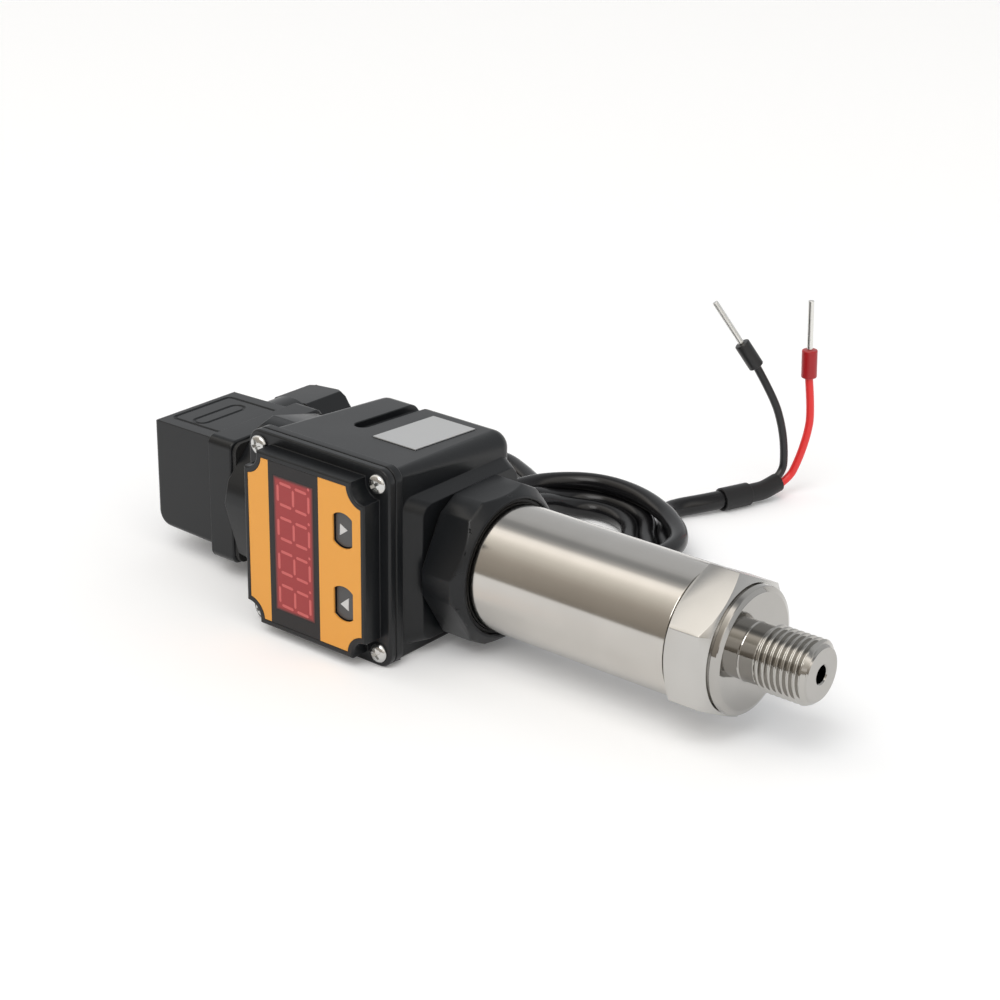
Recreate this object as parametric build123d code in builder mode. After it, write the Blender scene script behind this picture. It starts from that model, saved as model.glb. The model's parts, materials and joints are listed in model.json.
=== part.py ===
"""Pressure transmitter with a plug-on display between its sensor tube and its cable plug.

Millimetres. The origin is the centre of the collar's front face on the sensor's axis. +X points to the
process thread, -Y is the display side and +Z is up.
"""
from build123d import *
import math
import os

# Driving dimensions of the process fitting, stations along X
thread_radius = 6.5785
thread_start = 3.3
thread_end = 14.8
thread_chamfer = 1.3
neck_radius = 5.85
port_radius = 1.8
port_countersink = 0.6
hex_flats = 27.0
hex_start = -11.8
hex_end = -2.2
hex_turn = 33.6
hex_face_radius = 13.0
hex_bevel_angle = 30.0
collar_radius = 12.9
collar_face_radius = 11.7
collar_bevel = 0.5
collar_groove = 0.5
collar_groove_radius = 12.3

# Driving dimensions of the sensor tube, its cell and its board
tube_radius = 13.5
tube_wall = 1.5
tube_start = -63.6
spigot_length = 14.0
fit_clearance = 0.05
pocket_radius = 9.6
pocket_depth = 9.0
cell_radius = 9.5
cell_seal_thickness = 1.5
cell_seal_bore = 7.6
cell_thickness = 6.0
cell_step = 1.2
cell_ring_bore = 6.0
board_thickness = 1.6
sensor_board_width = 23.6
sensor_board_length = 34.0
chip_height = 1.4

# Driving dimensions of the hexagonal plug bases, one in front of the display housing and one behind it
base_flats = 31.7
base_corners = 33.7
base_turn = 1.8
base_length = 9.75
base_start = -68.6
base_cone = 2.35
base_mouth_radius = 14.9
base_wall = 5.0
lip_radius = 14.2
lip_start = -61.0
lip_end = -59.4
gasket_thickness = 1.0
gasket_inset = 1.5
contact_pitch = 9.0
contact_width = 5.0
contact_thickness = 0.8
contact_tail = 2.6
contact_reach = 8.0
slot_clearance = 0.1
insert_radius = 2.6
m3_radius = 1.45
m3_bore = 1.5
m3_hole = 1.7
m3_head_radius = 2.75
m3_head_height = 2.7
drive_flats = 2.5
drive_depth = 1.3

# Driving dimensions of the display housing and its cover, stations along X, Y and Z
neck_side = 31.0
neck_corner = 3.0
neck_front = -69.6
neck_front_side = 30.0
neck_foot_x = -73.3
neck_foot_width = 35.3
neck_foot_height = 33.1
neck_foot_y = -1.95
neck_foot_z = 0.65
neck_rear = -113.3
housing_left = -108.6
housing_right = -72.3
housing_bottom = -18.2
housing_back = 17.0
housing_radius = 4.0
housing_front_radius = 1.5
housing_low_radius = 0.8
top_at_front = 23.35
top_slope = 0.05
rim_left = -109.0
rim_right = -70.5
rim_top = 24.8
rim_corner = 3.0
rim_front = -22.0
rim_depth = 2.0
seal_thickness = 0.3
seal_inset = 0.25
flange_front = -24.0
panel_front = -28.5
panel_wall = 1.5
display_x = -89.73
display_z = 3.3
screw_pitch_x = 32.4
screw_pitch_z = 36.7
panel_corner = 1.0
panel_notch = 3.3
film_side_margin = 1.1
film_end_margin = 1.25
film_notch = 4.6
film_thickness = 0.4
film_recess = 0.5
cavity_left = -106.2
cavity_right = -75.0
cavity_bottom = -15.8
cavity_back = 14.6
post_radius = 2.8
post_length = 10.0
screw_radius = 0.9
screw_length = 5.5
screw_hole_depth = 3.7
screw_head_radius = 2.1
screw_head_height = 1.8
cross_reach = 1.25
cross_width = 0.55
cross_depth = 0.9
groove_left = -98.3
groove_width = 3.5
groove_front = -5.0
groove_depth = 1.7
label_width = 11.5
label_length = 19.0
label_x = -84.05
label_y = 2.0
label_thickness = 0.4
label_recess = 0.2

# Driving dimensions of the display, its window and its keys
window_left = -98.0
window_right = -87.0
window_bottom = -11.3
window_top = 18.45
window_inset = 4.05
window_flange = 0.8
window_flange_depth = 0.7
led_width = 14.0
led_height = 30.1
led_depth = 7.2
led_clearance = 0.575
key_x = -79.1
key_inset = 5.92
key_up_z = 11.5
key_down_z = -4.45
key_radius = 3.7
key_flats = 4.95
key_recess = 0.8
key_clearance = 0.15
key_flange = 0.8
key_flange_gap = 0.1
key_stem_radius = 1.6
key_travel = 0.5
key_mark_depth = 0.2
switch_side = 6.0
switch_height = 3.5
switch_stud_radius = 1.75
board_left = -104.6
board_right = -76.2
board_bottom = -13.6
board_top_gap = 0.4
board_corner = 3.0
board_post_radius = 1.4
board_pin_radius = 0.8
board_pin_length = 2.0
board_post_left = -102.2
board_post_right = -78.5
board_post_low = -11.0
board_post_inset = 1.2
loop_board_left = -100.0
loop_board_right = -80.0
loop_board_bottom = -12.0
loop_board_top = 16.0
loop_board_front = -10.9
header_width = 2.5
header_length = 15.2

# Driving dimensions of the rear base and the cable plug, stations along X
rear_flats = 33.1
rear_corners = 35.3
rear_turn = -14.0
rear_length = 10.3
stub_radius = 9.0
stub_bore = 6.5
stub_length = 11.8
stub_clearance = 0.1
rear_nut_flats = 23.0
rear_nut_height = 3.5
shell_end = -150.9
shell_step = -131.6
shell_width = 24.6
shell_height = 25.6
shell_z = 0.2
shell_draft = 0.3
shell_corner = 1.2
shell_low_corner = 3.5
flange_side = 28.6
flange_corner = 2.0
shell_cavity = 21.0
shell_cavity_end = -147.9
shell_boss_radius = 5.0
shell_boss_length = 2.0
head_well_radius = 3.2
frame_x = -140.9
frame_length = 15.6
frame_width = 18.0
frame_corner = 1.5
frame_groove = 0.6
frame_depth = 0.4
stadium_x = -141.85
stadium_width = 4.3
stadium_y = -0.75
stadium_length = 14.5
terminal_insert_side = 20.6
terminal_insert_end = -136.5
terminal_screw_radius = 1.4
terminal_screw_height = 1.8
terminal_slot = 0.5
socket_width = 6.2
socket_thickness = 2.6
plug_socket_end = -134.5
housing_socket_end = -78.0

# Driving dimensions of the cable gland, stations along Y
gland_x = -141.1
gland_z = 1.2
gland_boss_radius = 9.7
gland_boss_end = 21.5
gland_floor = 12.0
gland_bore = 7.7
gland_inner_hole = 4.0
gland_spigot_radius = 7.6
gland_flats = 17.5
gland_turn = 4.5
gland_hex_end = 34.0
gland_end = 35.2
gland_end_radius = 7.7
gland_cone = 0.9
gland_hole = 2.6
gland_seal_length = 4.5
gland_washer_thickness = 0.8

# Driving dimensions of the cable, its cores and its ferrules
cable_radius = 2.2
floor_z = housing_bottom
cable_z = floor_z + cable_radius
coil_x = -83.5
coil_y = 51.0
coil_outer_radius = 30.5
coil_inner_radius = 21.0
coil_height = 8.4
coil_edge = 2.0
sleeve_large_radius = 2.75
sleeve_large_length = 7.6
sleeve_lift = sleeve_large_radius - cable_radius + 0.05
sleeve_small_radius = 2.25
sleeve_small_bore = 1.95
lead_points = [
    (gland_x, 8.0, gland_z),
    (gland_x, 42.0, gland_z),
    (-140.8, 53.0, -8.8),
    (-140.4, 69.0, cable_z),
    (-125.4, 77.9, cable_z),
    (-109.6, 70.6, cable_z + 0.6),
    (-103.5, 65.0, cable_z + 2.0),
]
tail_points = [
    (-80.0, 66.0, cable_z + 2.0),
    (-74.0, 76.6, cable_z),
    (-68.2, 86.2, cable_z + sleeve_lift),
    (-64.4, 96.2, cable_z + sleeve_lift),
]
sleeve_bend = 4.6
sleeve_mouth = (-61.6, 104.9, cable_z + 1.7)
black_points = [
    (-62.4, 101.86, -14.07),
    (-61.2, 106.4, -12.9),
    (-61.5, 106.8, -6.2),
    (-62.3, 106.0, 0.3),
    (-64.0, 104.6, 6.7),
    (-67.5, 101.8, 14.4),
]
red_points = [
    (-62.29, 102.3, -15.95),
    (-60.6, 107.9, -14.5),
    (-59.0, 109.3, -9.4),
    (-57.4, 109.9, -2.8),
    (-56.9, 110.3, 3.0),
    (-57.8, 109.6, 11.9),
]
core_radius = 0.95
ferrule_collar_radius = 1.85
ferrule_collar_length = 6.8
ferrule_pin_radius = 0.7
ferrule_pin_length = 12.0

# Places worked out from the driving dimensions
tube_bore = tube_radius - tube_wall
tube_end = hex_start
spigot_start = hex_start - spigot_length
pocket_floor = spigot_start + pocket_depth
cell_seal_start = pocket_floor - cell_seal_thickness
cell_start = cell_seal_start - cell_thickness
base_end = base_start + base_length
base_counterbore = tube_start
base_gasket_start = base_start - gasket_thickness
rear_base_end = neck_rear
rear_base_start = rear_base_end - rear_length
rear_gasket_start = rear_base_start - gasket_thickness
screw_places = [(sx * screw_pitch_x / 2, sz * screw_pitch_z / 2) for sx in (-1, 1) for sz in (-1, 1)]
terminal_places = [(-contact_pitch, 0), (contact_pitch, 0), (0, contact_pitch)]
panel_inner = panel_front + panel_wall
window_x = (window_left + window_right) / 2
window_z = (window_bottom + window_top) / 2
window_width = window_right - window_left
window_height = window_top - window_bottom
window_back = panel_inner + window_flange_depth
cavity_top = window_z + led_height / 2 + led_clearance
board_top = cavity_top - board_top_gap
board_post_high = board_top - board_post_inset
display_board_front = window_back + led_depth
display_board_back = display_board_front + board_thickness
panel_width = 2 * (key_x + key_inset - display_x)
panel_height = 2 * (window_top + window_inset - display_z)
film_width = panel_width - 2 * film_side_margin
film_height = panel_height - 2 * film_end_margin
key_front = panel_front + key_recess
key_flange_front = panel_inner + key_flange_gap
key_flange_back = key_flange_front + key_flange
switch_stud_front = display_board_front - switch_height - 1.55
key_stem_end = switch_stud_front - key_travel - 0.05
post_places = [(x, z) for x in (board_post_left, board_post_right) for z in (board_post_low, board_post_high)]
display_plane = Plane(origin=(display_x, 0, display_z), x_dir=(1, 0, 0), z_dir=(0, -1, 0))
top_plane = Plane(
    origin=(0, 0, top_at_front + top_slope * rim_front),
    x_dir=(1, 0, 0),
    z_dir=(0, top_slope, 1),
)
gland_plane = Plane(origin=(gland_x, 0, gland_z), x_dir=(1, 0, 0), z_dir=(0, 1, 0))

os.makedirs("parts", exist_ok=True)


def cut_hexagon(flats, corners, turn):
    """Draws a base's hexagon with cut corners in the open sketch, flats and corners across."""
    RegularPolygon(flats / 2, 6, major_radius=False, rotation=turn)
    RegularPolygon(corners / 2, 6, major_radius=False, rotation=turn + 30, mode=Mode.INTERSECT)


def contact_slots(width, thickness, mode=Mode.ADD):
    """Draws the four contacts' outlines in the open sketch, each with its width across its radius."""
    with Locations((-contact_pitch, 0), (contact_pitch, 0)):
        Rectangle(thickness, width, mode=mode)
    with Locations((0, -contact_pitch), (0, contact_pitch)):
        Rectangle(width, thickness, mode=mode)


def key_outline(margin=0.0):
    """Draws one key's outline in the open sketch, a circle cut by two flats."""
    Circle(key_radius + margin)
    Rectangle(key_flats + 2 * margin, 2 * key_radius + 2 * margin, mode=Mode.INTERSECT)


def key_plane(z, y):
    """Gives the plane of one key's outline, facing the reader at the station y."""
    return Plane(origin=(key_x, y, z), x_dir=(1, 0, 0), z_dir=(0, -1, 0))


def corner_notches(radius):
    """Takes the round notches about the cover's screws out of the open sketch."""
    with Locations(*screw_places):
        Circle(radius, mode=Mode.SUBTRACT)


def cord_radii(points, largest):
    """Gives each bend of a cord's route the largest radius that leaves a tenth of each run straight."""
    radii = []
    for before, here, after in zip(points, points[1:], points[2:]):
        into = Vector(here) - Vector(before)
        away = Vector(after) - Vector(here)
        half_turn = math.radians(into.get_angle(away)) / 2
        room = 0.45 * min(into.length, away.length) / math.tan(half_turn)
        radii.append(min(room, largest))
    return radii


# Process fitting, one turned and milled bar of stainless steel
with BuildPart() as process_fitting:
    hex_corner_radius = hex_flats / math.sqrt(3)
    hex_bevel = (hex_corner_radius - hex_face_radius) * math.tan(math.radians(hex_bevel_angle))
    with BuildSketch(Plane.YZ.offset(hex_start)):
        RegularPolygon(hex_flats / 2, 6, major_radius=False, rotation=hex_turn)
    extrude(amount=hex_end - hex_start)
    with BuildSketch(Plane.XY):
        with BuildLine():
            Polyline(
                (hex_start, 0),
                (hex_start, hex_face_radius),
                (hex_start + hex_bevel, hex_corner_radius),
                (hex_end - hex_bevel, hex_corner_radius),
                (hex_end, hex_face_radius),
                (hex_end, 0),
                close=True,
            )
        make_face()
    revolve(axis=Axis.X, mode=Mode.INTERSECT)
    with BuildSketch(Plane.XY):
        with BuildLine():
            Polyline(
                (spigot_start, 0),
                (spigot_start, tube_bore - fit_clearance),
                (hex_start, tube_bore - fit_clearance),
                (hex_end, tube_bore - fit_clearance),
                (hex_end, collar_groove_radius),
                (hex_end + collar_groove, collar_groove_radius),
                (hex_end + collar_groove, collar_radius),
                (-collar_bevel, collar_radius - 0.2),
                (0, collar_face_radius),
                (0, neck_radius),
                (thread_start, neck_radius),
                (thread_start, thread_radius - 0.4),
                (thread_start + 0.4, thread_radius),
                (thread_end - thread_chamfer, thread_radius),
                (thread_end, thread_radius - thread_chamfer),
                (thread_end, 0),
                close=True,
            )
        make_face()
    revolve(axis=Axis.X)
    with BuildSketch(Plane.XY):
        with BuildLine():
            Polyline(
                (spigot_start, 0),
                (spigot_start, pocket_radius),
                (pocket_floor, pocket_radius),
                (pocket_floor, port_radius),
                (thread_end - port_countersink, port_radius),
                (thread_end, port_radius + port_countersink),
                (thread_end, 0),
                close=True,
            )
        make_face()
    revolve(axis=Axis.X, mode=Mode.SUBTRACT)
process_fitting.part.label = "process_fitting"
export_step(process_fitting.part, "parts/process_fitting.step")

# Sensor tube, slid over the fitting's spigot up to the hexagon
with BuildPart() as sensor_tube:
    with BuildSketch(Plane.YZ.offset(tube_start)):
        Circle(tube_radius)
        Circle(tube_bore, mode=Mode.SUBTRACT)
    extrude(amount=tube_end - tube_start)
sensor_tube.part.label = "sensor_tube"
export_step(sensor_tube.part, "parts/sensor_tube.step")

# Seal between the fitting's pocket and the pressure cell
with BuildPart() as cell_seal:
    with BuildSketch(Plane.YZ.offset(cell_seal_start)):
        Circle(cell_radius)
        Circle(cell_seal_bore, mode=Mode.SUBTRACT)
    extrude(amount=cell_seal_thickness)
cell_seal.part.label = "cell_seal"
export_step(cell_seal.part, "parts/cell_seal.step")

# Pressure cell with its thin diaphragm over the port
with BuildPart() as sensor_cell:
    with BuildSketch(Plane.YZ.offset(cell_start)):
        Circle(cell_radius)
    extrude(amount=cell_thickness)
    with BuildSketch(Plane.YZ.offset(cell_start)):
        Circle(cell_ring_bore - 1)
    extrude(amount=cell_thickness - cell_step, mode=Mode.SUBTRACT)
sensor_cell.part.label = "sensor_cell"
export_step(sensor_cell.part, "parts/sensor_cell.step")

# Threaded ring that holds the cell in the pocket
with BuildPart() as cell_ring:
    with BuildSketch(Plane.YZ.offset(spigot_start)):
        Circle(cell_radius)
        Circle(cell_ring_bore, mode=Mode.SUBTRACT)
    extrude(amount=cell_start - spigot_start)
cell_ring.part.label = "cell_ring"
export_step(cell_ring.part, "parts/cell_ring.step")

# Amplifier board, held by its long edges in the tube, with its chips
with BuildPart() as sensor_board:
    board_middle = spigot_start - sensor_board_length / 2
    with BuildSketch(Plane.XY.offset(-board_thickness / 2)):
        with Locations((board_middle, 0)):
            Rectangle(sensor_board_length, sensor_board_width)
    extrude(amount=board_thickness)
    with BuildSketch(Plane.XY.offset(board_thickness / 2)):
        with Locations((board_middle - 6, -3)):
            Rectangle(9.9, 6)
        with Locations((board_middle + 7, 3)):
            Rectangle(5, 6.2)
        with Locations((board_middle + 8, -6)):
            Rectangle(3.2, 1.6)
    extrude(amount=chip_height)
sensor_board.part.label = "sensor_board"
export_step(sensor_board.part, "parts/sensor_board.step")

# Front plug base, a hexagon with cut corners that the tube ends in
with BuildPart() as plug_base:
    with BuildSketch(Plane.YZ.offset(base_start)):
        cut_hexagon(base_flats, base_corners, base_turn)
    extrude(amount=base_length)
    with BuildSketch(Plane.XY):
        with BuildLine():
            Polyline(
                (base_start, 0),
                (base_start, base_corners),
                (base_end - base_cone, base_corners),
                (base_end - base_cone, base_mouth_radius + base_cone),
                (base_end, base_mouth_radius),
                (base_end, 0),
                close=True,
            )
        make_face()
    revolve(axis=Axis.X, mode=Mode.INTERSECT)
    with BuildSketch(Plane.XY):
        with BuildLine():
            Polyline(
                (base_counterbore, 0),
                (base_counterbore, tube_radius + fit_clearance),
                (lip_start, tube_radius + fit_clearance),
                (lip_start, lip_radius + fit_clearance),
                (base_end, lip_radius + fit_clearance),
                (base_end, 0),
                close=True,
            )
        make_face()
    revolve(axis=Axis.X, mode=Mode.SUBTRACT)
    with BuildSketch(Plane.YZ.offset(base_start)):
        Circle(insert_radius)
        contact_slots(contact_width, contact_thickness)
    extrude(amount=base_wall, mode=Mode.SUBTRACT)
plug_base.part.label = "plug_base"
export_step(plug_base.part, "parts/plug_base.step")

# Lip seal between the tube and the mouth of the front base
with BuildPart() as tube_seal:
    with BuildSketch(Plane.YZ.offset(lip_start)):
        Circle(lip_radius)
        Circle(tube_radius + fit_clearance, mode=Mode.SUBTRACT)
    extrude(amount=lip_end - lip_start)
tube_seal.part.label = "tube_seal"
export_step(tube_seal.part, "parts/tube_seal.step")

# Brass insert of the front base
with BuildPart() as base_insert:
    with BuildSketch(Plane.YZ.offset(base_start)):
        Circle(insert_radius)
        Circle(m3_bore, mode=Mode.SUBTRACT)
    extrude(amount=base_wall)
base_insert.part.label = "base_insert"
export_step(base_insert.part, "parts/base_insert.step")

# Four flat contacts of the front base
with BuildPart() as base_contacts:
    with BuildSketch(Plane.YZ.offset(base_start - contact_reach)):
        contact_slots(contact_width, contact_thickness)
    extrude(amount=contact_reach + base_wall + contact_tail)
base_contacts.part.label = "base_contacts"
export_step(base_contacts.part, "parts/base_contacts.step")

# Flat gasket between the front base and the display housing
with BuildPart() as base_gasket:
    with BuildSketch(Plane.YZ.offset(base_gasket_start)):
        cut_hexagon(base_flats - 2 * gasket_inset, base_corners - 2 * gasket_inset, base_turn)
        Circle(m3_hole, mode=Mode.SUBTRACT)
        contact_slots(contact_width + slot_clearance, contact_thickness + slot_clearance, Mode.SUBTRACT)
    extrude(amount=gasket_thickness)
base_gasket.part.label = "base_gasket"
export_step(base_gasket.part, "parts/base_gasket.step")

# Display housing, a moulded box with a falling top, a rim at the front and a neck block at each side
with BuildPart() as display_housing:
    housing_width = housing_right - housing_left
    housing_x = (housing_left + housing_right) / 2
    top_at_back = top_at_front - top_slope * (housing_back - rim_front)
    for y, top, radius in (
        (rim_front, top_at_front, housing_front_radius),
        (housing_back, top_at_back, housing_radius),
    ):
        with BuildSketch(Plane.XZ.offset(-y)):
            with Locations((housing_x, (top + housing_bottom) / 2)):
                Rectangle(housing_width, top - housing_bottom)
            fillet(vertices().group_by(Axis.Y)[-1], radius=radius)
            fillet(vertices().group_by(Axis.Y)[0], radius=housing_low_radius)
    loft()
    fillet(faces().sort_by(Axis.Y)[-1].edges(), radius=housing_radius - 0.5)
    with BuildSketch(Plane.XZ.offset(-rim_front)):
        with Locations(((rim_left + rim_right) / 2, (rim_top + housing_bottom) / 2)):
            RectangleRounded(rim_right - rim_left, rim_top - housing_bottom, rim_corner)
    extrude(amount=-rim_depth)
    with BuildSketch(Plane.YZ.offset(neck_rear)):
        RectangleRounded(neck_side, neck_side, neck_corner)
    extrude(amount=neck_foot_x - neck_rear)
    with BuildSketch(Plane.YZ.offset(neck_foot_x)):
        with Locations((neck_foot_y, neck_foot_z)):
            RectangleRounded(neck_foot_width, neck_foot_height, neck_corner)
    with BuildSketch(Plane.YZ.offset(neck_front)):
        RectangleRounded(neck_front_side, neck_front_side, neck_corner)
    loft()
    with BuildSketch(Plane.XZ.offset(-rim_front)):
        with Locations(((cavity_left + cavity_right) / 2, (cavity_bottom + cavity_top) / 2)):
            Rectangle(cavity_right - cavity_left, cavity_top - cavity_bottom)
    extrude(amount=-(cavity_back - rim_front), mode=Mode.SUBTRACT)
    with BuildSketch(display_plane.offset(-rim_front)):
        with Locations(*screw_places):
            Circle(post_radius)
        with Locations((housing_x - display_x, (cavity_bottom + cavity_top) / 2 - display_z)):
            Rectangle(
                cavity_right - cavity_left + 1, cavity_top - cavity_bottom + 1, mode=Mode.INTERSECT
            )
    extrude(amount=-post_length)
    with BuildSketch(display_plane.offset(-rim_front)):
        with Locations(*screw_places):
            Circle(screw_radius + fit_clearance)
    extrude(amount=-screw_hole_depth, mode=Mode.SUBTRACT)
    with BuildSketch(Plane.YZ.offset(cavity_right)):
        Circle(m3_hole)
        contact_slots(socket_width, socket_thickness)
    extrude(amount=neck_front - cavity_right, mode=Mode.SUBTRACT)
    with BuildSketch(Plane.YZ.offset(neck_rear)):
        Circle(stub_radius + stub_clearance)
    extrude(amount=cavity_left - neck_rear, mode=Mode.SUBTRACT)
    with BuildSketch(top_plane):
        with Locations((groove_left + groove_width / 2, (groove_front + housing_back + groove_width) / 2)):
            SlotOverall(housing_back - groove_front + groove_width, groove_width, rotation=90)
        with Locations((groove_left + groove_width / 2, housing_back)):
            Rectangle(groove_width, 2 * groove_width)
    extrude(amount=-groove_depth, mode=Mode.SUBTRACT)
    with BuildSketch(top_plane):
        with Locations((label_x, label_y)):
            Rectangle(label_width + slot_clearance, label_length + slot_clearance)
    extrude(amount=-label_recess, mode=Mode.SUBTRACT)
display_housing.part.label = "display_housing"
export_step(display_housing.part, "parts/display_housing.step")

# Blank rating label on the housing's top
with BuildPart() as blank_label:
    with BuildSketch(top_plane.offset(-label_recess)):
        with Locations((label_x, label_y)):
            Rectangle(label_width, label_length)
    extrude(amount=label_thickness)
blank_label.part.label = "blank_label"
export_step(blank_label.part, "parts/blank_label.step")

# Screw that draws the housing onto the front base
with BuildPart() as head_screw:
    with BuildSketch(Plane.YZ.offset(cavity_right - m3_head_height)):
        Circle(m3_head_radius)
    extrude(amount=m3_head_height)
    with BuildSketch(Plane.YZ.offset(cavity_right)):
        Circle(m3_radius)
    extrude(amount=base_counterbore - cavity_right - 1)
    with BuildSketch(Plane.YZ.offset(cavity_right - m3_head_height)):
        RegularPolygon(drive_flats / 2, 6, major_radius=False)
    extrude(amount=drive_depth, mode=Mode.SUBTRACT)
head_screw.part.label = "head_screw"
export_step(head_screw.part, "parts/head_screw.step")

# Sockets in the housing's neck that take the front base's contacts
with BuildPart() as socket_contacts:
    with BuildSketch(Plane.YZ.offset(housing_socket_end)):
        contact_slots(socket_width - slot_clearance, socket_thickness - slot_clearance)
        contact_slots(contact_width + slot_clearance, contact_thickness + slot_clearance, Mode.SUBTRACT)
    extrude(amount=neck_front - housing_socket_end)
socket_contacts.part.label = "socket_contacts"
export_step(socket_contacts.part, "parts/socket_contacts.step")

# Flat gasket between the housing's rim and the cover
with BuildPart() as cover_gasket:
    with BuildSketch(Plane.XZ.offset(-rim_front)):
        with Locations(((rim_left + rim_right) / 2, (rim_top + housing_bottom) / 2)):
            RectangleRounded(
                rim_right - rim_left - 2 * seal_inset,
                rim_top - housing_bottom - 2 * seal_inset,
                rim_corner - seal_inset,
            )
        with Locations(((cavity_left + cavity_right) / 2, (cavity_bottom + cavity_top) / 2)):
            Rectangle(cavity_right - cavity_left, cavity_top - cavity_bottom, mode=Mode.SUBTRACT)
        with Locations((display_x, display_z)):
            with Locations(*screw_places):
                Circle(screw_radius + slot_clearance, mode=Mode.SUBTRACT)
    extrude(amount=seal_thickness)
cover_gasket.part.label = "cover_gasket"
export_step(cover_gasket.part, "parts/cover_gasket.step")

# Front cover, a flange with a raised panel, the window's opening, the keys' holes and the board's posts
with BuildPart() as front_cover:
    cover_back = rim_front - seal_thickness
    with BuildSketch(Plane.XZ.offset(-cover_back)):
        with Locations(((rim_left + rim_right) / 2, (rim_top + housing_bottom) / 2)):
            RectangleRounded(rim_right - rim_left, rim_top - housing_bottom, rim_corner)
    extrude(amount=cover_back - flange_front)
    fillet(faces().sort_by(Axis.Y)[0].edges(), radius=0.5)
    with BuildSketch(display_plane.offset(-flange_front)):
        RectangleRounded(panel_width, panel_height, panel_corner)
        corner_notches(panel_notch)
    extrude(amount=flange_front - panel_front)
    fillet(faces().sort_by(Axis.Y)[0].edges(), radius=0.4)
    with BuildSketch(display_plane.offset(-cover_back)):
        Rectangle(panel_width - 2 * panel_wall, panel_height - 2 * panel_wall)
        corner_notches(panel_notch + panel_wall)
    extrude(amount=cover_back - panel_inner, mode=Mode.SUBTRACT)
    with BuildSketch(display_plane.offset(-panel_front)):
        Rectangle(film_width + slot_clearance, film_height + slot_clearance)
        corner_notches(film_notch - slot_clearance / 2)
    extrude(amount=-film_recess, mode=Mode.SUBTRACT)
    with BuildSketch(Plane.XZ.offset(-panel_front)):
        with Locations((window_x, window_z)):
            Rectangle(window_width + slot_clearance, window_height + slot_clearance)
    extrude(amount=-panel_wall, mode=Mode.SUBTRACT)
    for key_z in (key_up_z, key_down_z):
        with BuildSketch(key_plane(key_z, panel_front)):
            key_outline(key_clearance)
        extrude(amount=-panel_wall, mode=Mode.SUBTRACT)
    with BuildSketch(display_plane.offset(-flange_front)):
        with Locations(*screw_places):
            Circle(screw_radius + slot_clearance)
    extrude(amount=flange_front - cover_back, mode=Mode.SUBTRACT)
    with BuildSketch(Plane.XZ.offset(-panel_inner)):
        with Locations(*post_places):
            Circle(board_post_radius)
    extrude(amount=-(display_board_front - panel_inner))
    with BuildSketch(Plane.XZ.offset(-display_board_front)):
        with Locations(*post_places):
            Circle(board_pin_radius)
    extrude(amount=-board_pin_length)
front_cover.part.label = "front_cover"
export_step(front_cover.part, "parts/front_cover.step")

# Orange film with the window's opening, the keys' openings and round notches about the screws
with BuildPart() as faceplate:
    film_back = panel_front + film_recess
    with BuildSketch(display_plane.offset(-film_back)):
        Rectangle(film_width, film_height)
        corner_notches(film_notch)
    extrude(amount=film_thickness)
    with BuildSketch(Plane.XZ.offset(-film_back)):
        with Locations((window_x, window_z)):
            Rectangle(window_width + slot_clearance, window_height + slot_clearance)
    extrude(amount=film_thickness, mode=Mode.SUBTRACT)
    for key_z in (key_up_z, key_down_z):
        with BuildSketch(key_plane(key_z, film_back)):
            key_outline(key_clearance)
        extrude(amount=film_thickness, mode=Mode.SUBTRACT)
faceplate.part.label = "faceplate"
export_step(faceplate.part, "parts/faceplate.step")

# Red window, a plate that fills the opening with a flange behind the panel
with BuildPart() as display_window:
    with BuildSketch(Plane.XZ.offset(-window_back)):
        with Locations((window_x, window_z)):
            Rectangle(window_width + 2 * window_flange, window_height + 2 * window_flange)
    extrude(amount=window_flange_depth)
    with BuildSketch(Plane.XZ.offset(-panel_inner)):
        with Locations((window_x, window_z)):
            Rectangle(window_width, window_height)
    extrude(amount=panel_wall - slot_clearance)
display_window.part.label = "display_window"
export_step(display_window.part, "parts/display_window.step")

# Four-digit display behind the window
with BuildPart() as led_module:
    with BuildSketch(Plane.XZ.offset(-display_board_front)):
        with Locations((window_x, window_z)):
            Rectangle(led_width, led_height)
    extrude(amount=led_depth)
led_module.part.label = "led_module"
export_step(led_module.part, "parts/led_module.step")

# Display board with cut corners, its post holes and the sockets of the board behind it
with BuildPart() as display_board:
    with BuildSketch(Plane.XZ.offset(-display_board_back)):
        with Locations(((board_left + board_right) / 2, (board_bottom + board_top) / 2)):
            Rectangle(board_right - board_left, board_top - board_bottom)
        chamfer(vertices(), length=board_corner)
        with Locations(*post_places):
            Circle(board_pin_radius + fit_clearance, mode=Mode.SUBTRACT)
    extrude(amount=board_thickness)
    with BuildSketch(Plane.XZ.offset(-display_board_back)):
        for x in (loop_board_left + header_width, loop_board_right - header_width):
            with Locations((x, 0)):
                Rectangle(header_width, header_length)
    extrude(amount=-(loop_board_front - display_board_back))
display_board.part.label = "display_board"
export_step(display_board.part, "parts/display_board.step")

# Tact switches under the two keys
with BuildPart() as key_switches:
    for key_z in (key_up_z, key_down_z):
        with BuildSketch(key_plane(key_z, display_board_front)):
            Rectangle(switch_side, switch_side)
        extrude(amount=switch_height)
        with BuildSketch(key_plane(key_z, display_board_front - switch_height)):
            Circle(switch_stud_radius)
        extrude(amount=display_board_front - switch_height - switch_stud_front)
key_switches.part.label = "key_switches"
export_step(key_switches.part, "parts/key_switches.step")

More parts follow.
